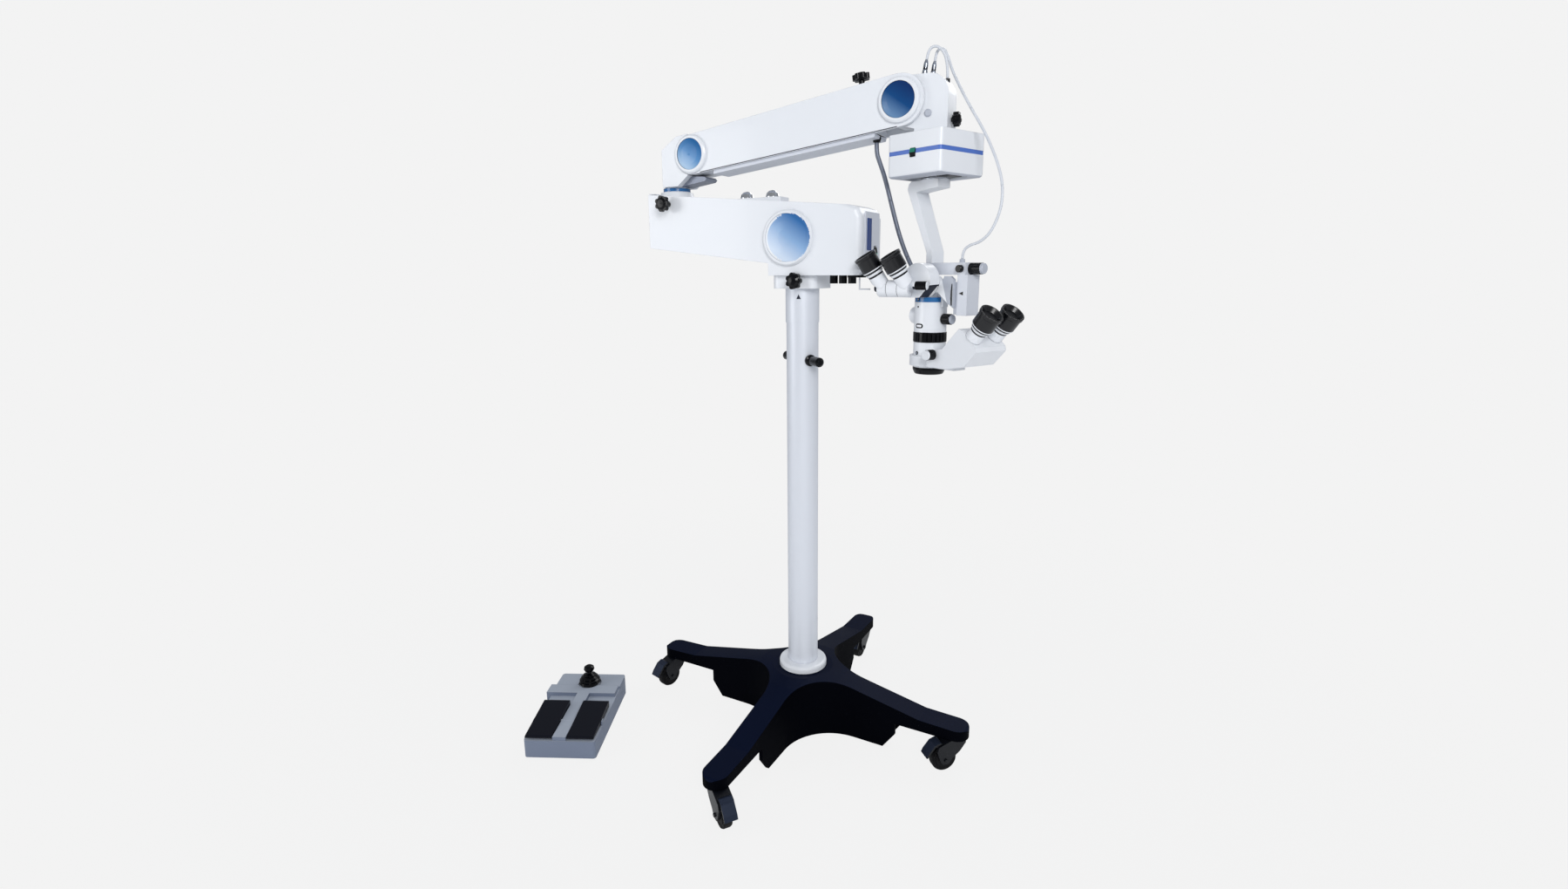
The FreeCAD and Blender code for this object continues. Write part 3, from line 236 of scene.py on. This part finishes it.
# Centres of the three blue discs in X and Z, and their radii.
BIG_RAD, SMALL_RAD = 0.062, 0.042
ARM = (0.004, 1.463)
TILT = (-0.328, 1.701)
LEVEL = (0.288, 1.778)
# Each blue disc carries a painted reflection, pale at its lower left.
BIG_BLUE = disc_blue_painted_reflection("big_disc_blue", *ARM, BIG_RAD, linear(204, 218, 236), linear(136, 170, 210),
                     linear(48, 104, 164))
TILT_BLUE = disc_blue_painted_reflection("tilt_disc_blue", *TILT, SMALL_RAD, linear(156, 188, 219), linear(88, 140, 192),
                      linear(38, 98, 155))
LEVEL_BLUE = disc_blue_painted_reflection("level_disc_blue", *LEVEL, SMALL_RAD, linear(96, 132, 172), linear(6, 66, 122),
                       linear(1, 44, 98))


def on_disc(point, spot, radius):
    return math.hypot(point.x - spot[0], point.z - spot[1]) < radius


def in_head(point):
    """A point in the swivelled frame of the slides and the optical body."""
    return local(point, HEAD_TURN)


def from_scope(point):
    """Distance from the optical body's upright axis."""
    return (point.xy - Vector((HEAD_X, 0))).length


# Where the eyepieces' tubes start, which way they point and how long they are below the cups.
EYE_FEET = [Vector((HEAD_X - 0.099 + 0.064 * n, -0.076, 1.332)) for n in (0, 1)]
EYE_WAY = Vector((-0.432, -0.309, 0.847)).normalized()
MATE_FOOT = Vector((0.181, 0, 1.219))
MATE_WAY = Vector((math.sin(math.radians(41)), 0, math.cos(math.radians(41))))
EYE_TUBE, MATE_TUBE = 0.050, 0.034
BAND_SPAN = 0.2
CUP_START = 0.0068


def banded(name, foot, way, tube):
    """White tube with a black line, a white ring, a black ring, a bright line and a black cup."""
    made = paint(name, linear(226, 229, 234), 0.27, soft_edge=0.0006)
    tree = made.node_tree
    place = node(tree, "ShaderNodeTexCoord")
    along = node(tree, "ShaderNodeVectorMath", operation="DOT_PRODUCT")
    along.inputs[1].default_value = way
    span = node(tree, "ShaderNodeMapRange")
    span.inputs["From Min"].default_value = foot.dot(way)
    span.inputs["From Max"].default_value = foot.dot(way) + BAND_SPAN
    ramp = node(tree, "ShaderNodeValToRGB")
    ramp.color_ramp.interpolation = "CONSTANT"
    white, black = linear(226, 229, 234), linear(5, 6, 11)
    ramp.color_ramp.elements[0].color = white
    ramp.color_ramp.elements[1].position = (tube + CUP_START) / BAND_SPAN
    ramp.color_ramp.elements[1].color = black
    for start, color in ((-0.012, black), (-0.0075, white), (-0.001, black), (0.0035, white)):
        ramp.color_ramp.elements.new((tube + start) / BAND_SPAN).color = color
    tree.links.new(place.outputs["Object"], along.inputs[0])
    tree.links.new(along.outputs["Value"], span.inputs["Value"])
    tree.links.new(span.outputs["Result"], ramp.inputs["Fac"])
    tree.links.new(ramp.outputs["Color"], tree.nodes["Principled BSDF"].inputs["Base Color"])
    return made


def off_axis(point, foot, way):
    """Distance of a point from a slanted axis."""
    step = point - foot
    return (step - way * step.dot(way)).length


def second_eyepiece(point):
    first, second = (off_axis(point, foot, EYE_WAY) for foot in EYE_FEET)
    return second < first


def round_upright(material):
    """Let a material's shading follow a true round about the column's axis, whatever the mesh."""
    tree = material.node_tree
    place = node(tree, "ShaderNodeNewGeometry")
    flat = node(tree, "ShaderNodeVectorMath", operation="MULTIPLY")
    flat.inputs[1].default_value = (1, 1, 0)
    unit = node(tree, "ShaderNodeVectorMath", operation="NORMALIZE")
    tree.links.new(place.outputs["Position"], flat.inputs[0])
    tree.links.new(flat.outputs["Vector"], unit.inputs[0])
    tree.links.new(unit.outputs["Vector"], tree.nodes["Principled BSDF"].inputs["Normal"])


round_upright(SILVER)

# In each test c is a face's centre and n its normal, both in the row's frame at rest.
# The base's side faces take the darker iron as painted shade.
dress("base_casting", IRON, (IRON_SIDE_SHADE, lambda c, n: n.z < 0.35))
dress("column_flange", WHITE)
dress("column_tube", WHITE, (SILVER, lambda c, n: abs(n.z) < 0.3))
dress("column_sleeve", WHITE, (SILVER, lambda c, n: abs(n.z) < 0.3))
dress("push_handle", BLACK)
dress("arm_hub", WHITE)
dress("lower_arm_cover", WHITE)
dress("lower_disc", WHITE, (BIG_BLUE, lambda c, n: on_disc(c, ARM, BIG_RAD) and n.y < -0.3))
dress("control_panel", COOL_WHITE, (SCREEN_BLUE, lambda c, n: c.x > 0.2065))
dress("cable_sockets", BLACK, (WHITE, lambda c, n: c.y < -0.02 and c.z < 1.3585))
dress("dome_caps", WHITE, (CHROME, lambda c, n: c.z > 1.5765))
dress("side_bracket", WHITE)
dress("post_ring", WHITE, (RING_BLUE, lambda c, n: abs(n.z) < 0.5 and c.z > 1.6045))
dress("swivel_head", WHITE, (LINK_GREY, lambda c, n: c.x > -0.379 and abs(c.y) < 0.0282
                             and c.z - 1.6173 < (c.x + 0.3787) * 0.78 - 0.0008))
dress("upper_arm_cover", WHITE)
# The upper arm's underside is painted the duller white as shade.
dress("arm_underside", COOL_WHITE, (BLACK, lambda c, n: math.hypot(c.x - 0.213, c.y) < 0.0115))
# The side walls round the two small discs are painted dark as shade.
dress("pivot_caps", WHITE, (DARK_MARK_AND_SHADE, lambda c, n: (on_disc(c, TILT, 0.0426) or on_disc(c, LEVEL, 0.0426))
                            and abs(n.y) < 0.3),
      (TILT_BLUE, lambda c, n: on_disc(c, TILT, SMALL_RAD) and abs(n.y) > 0.3),
      (LEVEL_BLUE, lambda c, n: on_disc(c, LEVEL, SMALL_RAD) and abs(n.y) > 0.3))
dress("head_yoke", WHITE, (BLACK_METAL, lambda c, n: on_disc(c, (0.357, 1.744), 0.0067) and c.y < -0.0352),
      (PALE_GREY, lambda c, n: on_disc(c, (0.357, 1.744), 0.0095) and c.y < -0.0352),
      (BLACK_METAL, lambda c, n: math.hypot(c.x - 0.389, c.y - 0.006) < 0.007 and c.z > 1.8))
dress("cable_plugs", CONNECTOR, (BLACK_METAL, lambda c, n: abs(n.z) < 0.3 and 1.848 < c.z < 1.853))
dress("xy_housing", WHITE, (STRIPE_BLUE, lambda c, n: 1.649 < c.z < 1.659 and abs(n.z) < 0.5
                                 and max(abs(in_head(c).x), abs(in_head(c).y)) > 0.07),
      (PALE_GREY, lambda c, n: n.z < -0.5))
dress("x_carriage", BLACK_METAL)
dress("suspended_arm", WHITE, (CHROME, lambda c, n: c.z > 1.5938))
dress("focus_block", COOL_WHITE, (BLACK, lambda c, n: in_head(c).y < -0.0236 and c.z > 1.366),
      (PALE_GREY, lambda c, n: c.z > 1.3942))
dress("focus_carriage", PALE_GREY, (WHITE, lambda c, n: in_head(c).x < 0.066))
dress("scope_body", WHITE, (RING_BLUE, lambda c, n: 1.298 < c.z < 1.311 and abs(n.z) < 0.5
                            and 0.039 < from_scope(c) < 0.042))
dress("zoom_ring", BLACK)
dress("objective", BLACK, (LENS, lambda c, n: from_scope(c) < 0.0299))
# The downward faces of the slant cut under the plate are painted dark as shade.
dress("binocular_head", WHITE, (DARK_MARK_AND_SHADE, lambda c, n: n.z < -0.25 and c.z > 1.3))
dress("binocular_barrel", WHITE, (BLACK, lambda c, n: c.x < HEAD_X - 0.1121),
      (DARK_MARK_AND_SHADE, lambda c, n: math.hypot(c.y + 0.076, c.z - 1.332) < 0.0204 and abs(n.x) < 0.5))
dress("assistant_head", WHITE)
left_bands, right_bands = (banded("eyepiece_bands_%d" % n, EYE_FEET[n], EYE_WAY, EYE_TUBE) for n in (0, 1))
dress("eyepieces", left_bands, (right_bands, lambda c, n: second_eyepiece(c)))
turned = Matrix.Rotation(MATE_TURN, 3, "Z")
dress("assistant_eyepieces", banded("assistant_bands", turned @ MATE_FOOT + Vector((HEAD_X, 0, 0)),
                                    turned @ MATE_WAY, MATE_TUBE))
for name in ("column_clamp_knob", "post_clamp_knob", "arm_lock_knob", "yoke_knob"):
    dress(name, BLACK)
dress("focus_knob", BLACK, (PALE_GREY, lambda c, n: in_head(c).x > 0.1512))
dress("scope_knob", BLACK, (PALE_GREY, lambda c, n: in_head(c).x > 0.0672))
dress("binocular_knob", BLACK, (WHITE, lambda c, n: c.x > HEAD_X + 0.0195))
dress("assistant_knob", BLACK, (WHITE, lambda c, n: local(c, MATE_TURN).y < -0.0736))
dress("power_rocker", BLACK, (GREEN, lambda c, n: c.z < 1.421 and c.x > 0.204))
dress("xy_rocker", BLACK, (GREEN, lambda c, n: n.z > 0.1 and in_head(c).y < -0.085))
# The housing's side faces take the darker grey as painted shade.
dress("foot_housing", FOOT_GREY, (FOOT_SIDE_SHADE, lambda c, n: n.z < 0.4), (BLACK, lambda c, n: c.z < 0.0059))
dress("foot_pedal_left", PEDAL_BLACK)
dress("foot_pedal_right", PEDAL_BLACK)
dress("joystick", BLACK)
for side in CAST_NAMES:
    dress("caster_fork_" + side, BLACK_METAL)
    dress("caster_wheel_" + side, RUBBER)
    # Pedal tops are lighter: painted sheen.
    dress("caster_pedal_" + side, BLACK_METAL, (BRAKE_TOP_SHEEN, lambda c, n: n.z > 0.2))


# ---------------------------------------------------------------- small marks and fittings
SUNK = 0.0004


def add_mesh(name, verts, faces, material):
    mesh = bpy.data.meshes.new(name)
    mesh.from_pydata(verts, [], faces)
    mesh.materials.append(material)
    made = bpy.data.objects.new(name, mesh)
    bpy.context.scene.collection.objects.link(made)
    return made


def rim_faces(count):
    """The wall between two outlines of a plate, with count points each."""
    return [(k, (k + 1) % count, count + (k + 1) % count, count + k) for k in range(count)]


def closed(name, body, rows, material):
    """A thin closed plate between two outlines with the same number of points."""
    under, over = rows
    count = len(under)
    faces = [tuple(reversed(range(count))), tuple(range(count, 2 * count))] + rim_faces(count)
    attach(add_mesh(name, [tuple(p) for p in under + over], faces, material), body)


def badge(name, body, spot, facing, outline, material, proud=0.0006):
    """A flat plate with its outline on a surface that faces the given way."""
    ahead = Vector(facing).normalized()
    across = Vector((0, 0, 1)).cross(ahead)
    if across.length < 0.1:
        across = Vector((1, 0, 0))
    across.normalize()
    up = ahead.cross(across)
    rows = [[Vector(spot) + across * a + up * b + ahead * height for a, b in outline]
            for height in (-SUNK, proud)]
    closed(name, body, rows, material)


def round_outline(radius, sides=24):
    return [(radius * math.cos(k * math.tau / sides), radius * math.sin(k * math.tau / sides))
            for k in range(sides)]


def wrapped(name, body, axis, radius, angle, z, wide, high, material, proud=0.0005):
    """A plate with round ends bent round an upright cylinder; angle is its middle's direction."""
    steps = 16
    columns = []
    for k in range(steps + 1):
        along = wide * (k / steps - 0.5)
        end = max(0.0, abs(along) - (wide - high) / 2)
        columns.append((along, math.sqrt(max((high / 2) ** 2 - end ** 2, 1e-9))))
    rim = [(a, -h) for a, h in columns] + [(a, h) for a, h in reversed(columns)]
    verts, faces = [], []
    for reach in (radius - SUNK, radius + proud):
        for along, up in rim:
            turn = angle + along / radius
            verts.append((axis[0] + reach * math.cos(turn), axis[1] + reach * math.sin(turn), z + up))
    count = len(rim)
    for k in range(steps):
        low_a, low_b, top_b, top_a = k, k + 1, count - 2 - k, count - 1 - k
        faces.append((low_a, top_a, top_b, low_b))
        faces.append((count + low_a, count + low_b, count + top_b, count + top_a))
    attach(add_mesh(name, verts, faces + rim_faces(count), material), body)


def head_spot(x, y, z):
    """A point given in the swivelled head's frame, in the row's frame."""
    return head_way(x, y, z) + Vector((HEAD_X, 0, 0))


def head_way(x, y, z):
    """A direction given in the swivelled head's frame, in the row's frame."""
    return Matrix.Rotation(HEAD_TURN, 3, "Z") @ Vector((x, y, z))


SLEEVE_RAD = 0.047
MARK_WAY = (0.247, -0.969, 0)
badge("column_mark", "base", (SLEEVE_RAD * MARK_WAY[0], SLEEVE_RAD * MARK_WAY[1], 1.308), MARK_WAY,
      [(-0.006, -0.006), (0.006, -0.006), (0, 0.007)], DARK_MARK_AND_SHADE)

SCOPE_RAD = 0.041
FRONT = math.atan2(-0.0375, -0.0173)
WINDOW_Z = 1.2385
wrapped("filter_window", "scope", (HEAD_X, 0), SCOPE_RAD, FRONT, WINDOW_Z, 0.024, 0.0115, BLACK)
wrapped("filter_pill", "scope", (HEAD_X, 0), SCOPE_RAD + 0.0004, FRONT, WINDOW_Z, 0.016, 0.0055, PILL_WHITE)
screw_turn = math.atan2(-0.0352, -0.0215)
screw_way = Vector((math.cos(screw_turn), math.sin(screw_turn), 0))
for number, (height, radius) in enumerate(((1.1697, 0.0045), (1.2863, 0.0022), (1.3045, 0.0035))):
    spot = Vector((HEAD_X, 0, height)) + screw_way * SCOPE_RAD
    badge("body_screw_%d" % number, "scope", spot, screw_way, round_outline(radius), BLACK_METAL, 0.0008)
    if radius > 0.003:
        badge("body_screw_face_%d" % number, "scope", spot, screw_way, round_outline(radius * 0.62),
              CONNECTOR, 0.0013)

PLATE_Y = -0.0328
BLOCK_Y = -0.0235
badge("focus_pointer", "suspension", head_spot(0.109, BLOCK_Y, 1.321), head_way(0, -1, 0),
      [(-0.006, 0), (0.006, -0.0045), (0.006, 0.0045)], BLACK)
badge("focus_slot", "focus_slide", head_spot(0.0885, PLATE_Y, 1.318), head_way(0, -1, 0),
      [(-0.0015, -0.026), (0.0022, -0.026), (0.0015, 0.026), (-0.0005, 0.026), (-0.0025, 0.008),
       (-0.003, -0.008)], BLACK)
badge("tilt_screw", "focus_slide", head_spot(0.035, PLATE_Y, 1.338), head_way(0, -1, 0),
      round_outline(0.0055), PALE_GREY, 0.001)
badge("tilt_screw_socket", "focus_slide", head_spot(0.035, PLATE_Y, 1.338), head_way(0, -1, 0),
      round_outline(0.0025), BLACK_METAL, 0.0014)

BEAM_START, BEAM_END = Vector((-0.300, 0, 1.6505)), Vector((0.284, 0, 1.7175))
BEAM_WAY = (BEAM_END - BEAM_START).normalized()
BEAM_DOWN = Vector((BEAM_WAY.z, 0, -BEAM_WAY.x))
SEAM_HIGH = 0.0018
for number, side in enumerate((-1, 1)):
    line = [BEAM_START, BEAM_END, BEAM_END - BEAM_DOWN * SEAM_HIGH, BEAM_START - BEAM_DOWN * SEAM_HIGH]
    rows = [[p + Vector((0, side * y, 0)) for p in line] for y in (0.0476, 0.0484)]
    if side > 0:
        rows = [list(reversed(row)) for row in rows]
    closed("beam_seam_%d" % number, "upper_arm", rows, DARK_MARK_AND_SHADE)


# ---------------------------------------------------------------- cords
def curve_path(points, steps=24):
    """Points on the smooth line that a clamped quadratic spline draws through its control points."""
    spots = [Vector(p) for p in points]
    line = []
    last = len(spots) - 3
    for i in range(len(spots) - 2):
        start = spots[i] if i == 0 else (spots[i] + spots[i + 1]) / 2
        end = spots[i + 2] if i == last else (spots[i + 1] + spots[i + 2]) / 2
        for k in range(steps):
            t = k / steps
            line.append(start * (1 - t) ** 2 + spots[i + 1] * 2 * t * (1 - t) + end * t ** 2)
    line.append(spots[-1])
    return line


def evenly(line, step):
    """The same line with points about one step apart."""
    lengths = [0.0]
    for a, b in zip(line, line[1:]):
        lengths.append(lengths[-1] + (b - a).length)
    count = max(2, round(lengths[-1] / step))
    out, j = [], 0
    for i in range(count + 1):
        want = lengths[-1] * i / count
        while j < len(line) - 2 and lengths[j + 1] < want:
            j += 1
        span = lengths[j + 1] - lengths[j]
        out.append(line[j].lerp(line[j + 1], (want - lengths[j]) / span if span else 0))
    return out


def tube(name, line, radius_at, sides, material, directions):
    """A closed tube round a line; directions are the line's tangents, one for each point."""
    verts, faces = [], []
    side = directions[0].orthogonal().normalized()
    for i, (spot, ahead) in enumerate(zip(line, directions)):
        side = (side - ahead * side.dot(ahead)).normalized()
        up = ahead.cross(side)
        for k in range(sides):
            a = 2 * math.pi * k / sides
            verts.append(spot + (side * math.cos(a) + up * math.sin(a)) * radius_at(i))
    for i in range(len(line) - 1):
        for k in range(sides):
            a, b = i * sides + k, i * sides + (k + 1) % sides
            faces.append((a, b, b + sides, a + sides))
    faces.append(tuple(reversed(range(sides))))
    faces.append(tuple(range((len(line) - 1) * sides, len(line) * sides)))
    made = add_mesh(name, verts, faces, material)
    for face in made.data.polygons:
        face.use_smooth = len(face.vertices) == 4
    return made


CORD_SIDES = 20
CORD_STEP, RIB_STEP = 0.004, 0.0022


def run_cord(name, points, diameter, material, bodies, ribs=0.0):
    """A cord that crosses joints, as one piece for each pair of neighbouring bodies."""
    line = evenly(curve_path(points), RIB_STEP if ribs else CORD_STEP)
    end = len(line) - 1
    ahead = [(line[min(i + 1, end)] - line[max(i - 1, 0)]).normalized() for i in range(end + 1)]
    pairs = list(zip(bodies, bodies[1:])) or [(bodies[0], None)]
    cuts = [round(i * end / len(pairs)) for i in range(len(pairs) + 1)]
    made = []
    for number, (first, second) in enumerate(pairs):
        a, b = cuts[number], cuts[number + 1]
        piece = tube("%s_%d" % (name, number + 1), line[a:b + 1],
                     lambda i: diameter / 2 - (ribs if (a + i) % 2 else 0),
                     CORD_SIDES, material, ahead[a:b + 1])
        if second:
            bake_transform(piece)
        else:
            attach(piece, first)
        made.append(piece)
    return made


GUIDE_ROUTE = [(0.213, 0, 1.694), (0.213, 0, 1.670), (0.221, 0.0005, 1.648), (0.235, 0.002, 1.612),
               (0.248, 0.003, 1.567), (0.263, 0.008, 1.508), (0.280, 0.012, 1.451), (0.300, 0.022, 1.398),
               (0.325, 0.035, 1.348), (0.3374, 0.0401, 1.308), (0.3374, 0.0401, 1.2702)]
SHORT_ROUTE = [(0.3413, -0.010, 1.8688), (0.3434, -0.010, 1.8835), (0.352, -0.0085, 1.897),
               (0.368, -0.005, 1.897), (0.383, -0.001, 1.880), (0.3875, 0.004, 1.857),
               (0.389, 0.006, 1.840), (0.389, 0.006, 1.824)]
LONG_ROUTE = [(0.3553, 0.010, 1.8678), (0.3574, 0.010, 1.8824), (0.361, 0.011, 1.892),
              (0.369, 0.013, 1.8965), (0.378, 0.015, 1.892), (0.387, 0.0155, 1.873),
              (0.399, 0.013, 1.840), (0.443, -0.009, 1.766), (0.4907, -0.022, 1.694),
              (0.5234, -0.036, 1.632), (0.545, -0.048, 1.5756), (0.5484, -0.058, 1.5169),
              (0.5273, -0.058, 1.4631), (0.500, -0.053, 1.440), (0.472, -0.046, 1.434),
              (0.4571, -0.0427, 1.420), (0.4571, -0.0427, 1.402)]

GUIDE_WIDE, LEAD_WIDE = 0.0120, 0.0065
guide = run_cord("light_guide_run", GUIDE_ROUTE, GUIDE_WIDE, CONDUIT,
                 ("upper_arm", "yoke", "slide_unit", "cross_slide", "suspension", "focus_slide", "scope"),
                 ribs=0.0007)
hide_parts("light_guide")
short = run_cord("short_lead_run", SHORT_ROUTE, LEAD_WIDE, CABLE, ("yoke",))
run_cord("long_lead_run", LONG_ROUTE, LEAD_WIDE, CABLE,
         ("yoke", "slide_unit", "cross_slide", "suspension"))
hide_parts("head_leads")


# ---------------------------------------------------------------- stage and light
BACKDROP = linear(243, 243, 243)
SURROUND = (0.92, 0.95, 1.0, 1)
FLOOR_HALF = 30
SHADOW_TRACE = 0.05
SHADOW_FADE = (0.7, 2.6)

floor_mesh = bpy.data.meshes.new("floor")
floor_mesh.from_pydata([(-FLOOR_HALF, -FLOOR_HALF, 0), (FLOOR_HALF, -FLOOR_HALF, 0),
                        (FLOOR_HALF, FLOOR_HALF, 0), (-FLOOR_HALF, FLOOR_HALF, 0)], [], [(0, 1, 2, 3)])
floor = bpy.data.objects.new("floor", floor_mesh)
bpy.context.scene.collection.objects.link(floor)


def floor_material():
    """Pale floor with a trace of the object's shadow near it, which fades into the backdrop further out."""
    made = bpy.data.materials.new("floor")
    made.use_nodes = True
    tree = made.node_tree
    tree.nodes.clear()
    out = node(tree, "ShaderNodeOutputMaterial")
    near = node(tree, "ShaderNodeBsdfDiffuse", Color=(0.92, 0.925, 0.93, 1))
    glow = node(tree, "ShaderNodeEmission", Color=BACKDROP, Strength=1.0)
    place = node(tree, "ShaderNodeTexCoord")
    reach = node(tree, "ShaderNodeVectorMath", operation="LENGTH")
    fade = node(tree, "ShaderNodeMapRange", interpolation_type="SMOOTHSTEP")
    fade.inputs["From Min"].default_value, fade.inputs["From Max"].default_value = SHADOW_FADE
    fade.inputs["To Min"].default_value = 1 - SHADOW_TRACE
    ray = node(tree, "ShaderNodeLightPath")
    share = node(tree, "ShaderNodeMath", operation="MULTIPLY")
    mix = node(tree, "ShaderNodeMixShader")
    tree.links.new(place.outputs["Object"], reach.inputs[0])
    tree.links.new(reach.outputs["Value"], fade.inputs["Value"])
    tree.links.new(fade.outputs["Result"], share.inputs[0])
    tree.links.new(ray.outputs["Is Camera Ray"], share.inputs[1])
    tree.links.new(share.outputs["Value"], mix.inputs["Fac"])
    tree.links.new(near.outputs["BSDF"], mix.inputs[1])
    tree.links.new(glow.outputs["Emission"], mix.inputs[2])
    tree.links.new(mix.outputs["Shader"], out.inputs["Surface"])
    return made


floor_mesh.materials.append(floor_material())


def sky():
    """Even studio surround: the backdrop's own colour to the eye, dimmer in reflections."""
    world = bpy.data.worlds.new("studio")
    bpy.context.scene.world = world
    world.use_nodes = True
    tree = world.node_tree
    tree.nodes.clear()
    out = node(tree, "ShaderNodeOutputWorld")
    lit = node(tree, "ShaderNodeBackground", Color=SURROUND, Strength=0.46)
    mirrored = node(tree, "ShaderNodeBackground", Color=SURROUND, Strength=0.3)
    seen = node(tree, "ShaderNodeBackground", Color=BACKDROP, Strength=1.0)
    ray = node(tree, "ShaderNodeLightPath")
    shine = node(tree, "ShaderNodeMixShader")
    direct = node(tree, "ShaderNodeMath", operation="MAXIMUM")
    mix = node(tree, "ShaderNodeMixShader")
    tree.links.new(ray.outputs["Is Glossy Ray"], shine.inputs["Fac"])
    tree.links.new(lit.outputs["Background"], shine.inputs[1])
    tree.links.new(mirrored.outputs["Background"], shine.inputs[2])
    tree.links.new(ray.outputs["Is Camera Ray"], direct.inputs[0])
    tree.links.new(ray.outputs["Is Transmission Ray"], direct.inputs[1])
    tree.links.new(direct.outputs["Value"], mix.inputs["Fac"])
    tree.links.new(shine.outputs["Shader"], mix.inputs[1])
    tree.links.new(seen.outputs["Background"], mix.inputs[2])
    tree.links.new(mix.outputs["Shader"], out.inputs["Surface"])


sky()


def lamp(name, spot, aim, wide, power):
    """A square lamp of the given width in metres and power in watts, turned towards its aim."""
    light = bpy.data.lights.new(name, "AREA")
    light.size = wide
    light.energy = power
    made = bpy.data.objects.new(name, light)
    bpy.context.scene.collection.objects.link(made)
    made.location = spot
    made.rotation_euler = (Vector(aim) - Vector(spot)).to_track_quat("-Z", "Y").to_euler()


lamp("key", (2.6, -3.4, 2.9), (0.1, 0, 1.3), 1.6, 105)
lamp("fill", (-2.6, -2.6, 1.6), (0, 0, 1.2), 1.6, 26)
lamp("back", (0.3, 2.8, 3.2), (0, 0, 1.4), 2.0, 34)

bpy.context.scene.view_settings.view_transform = "Standard"
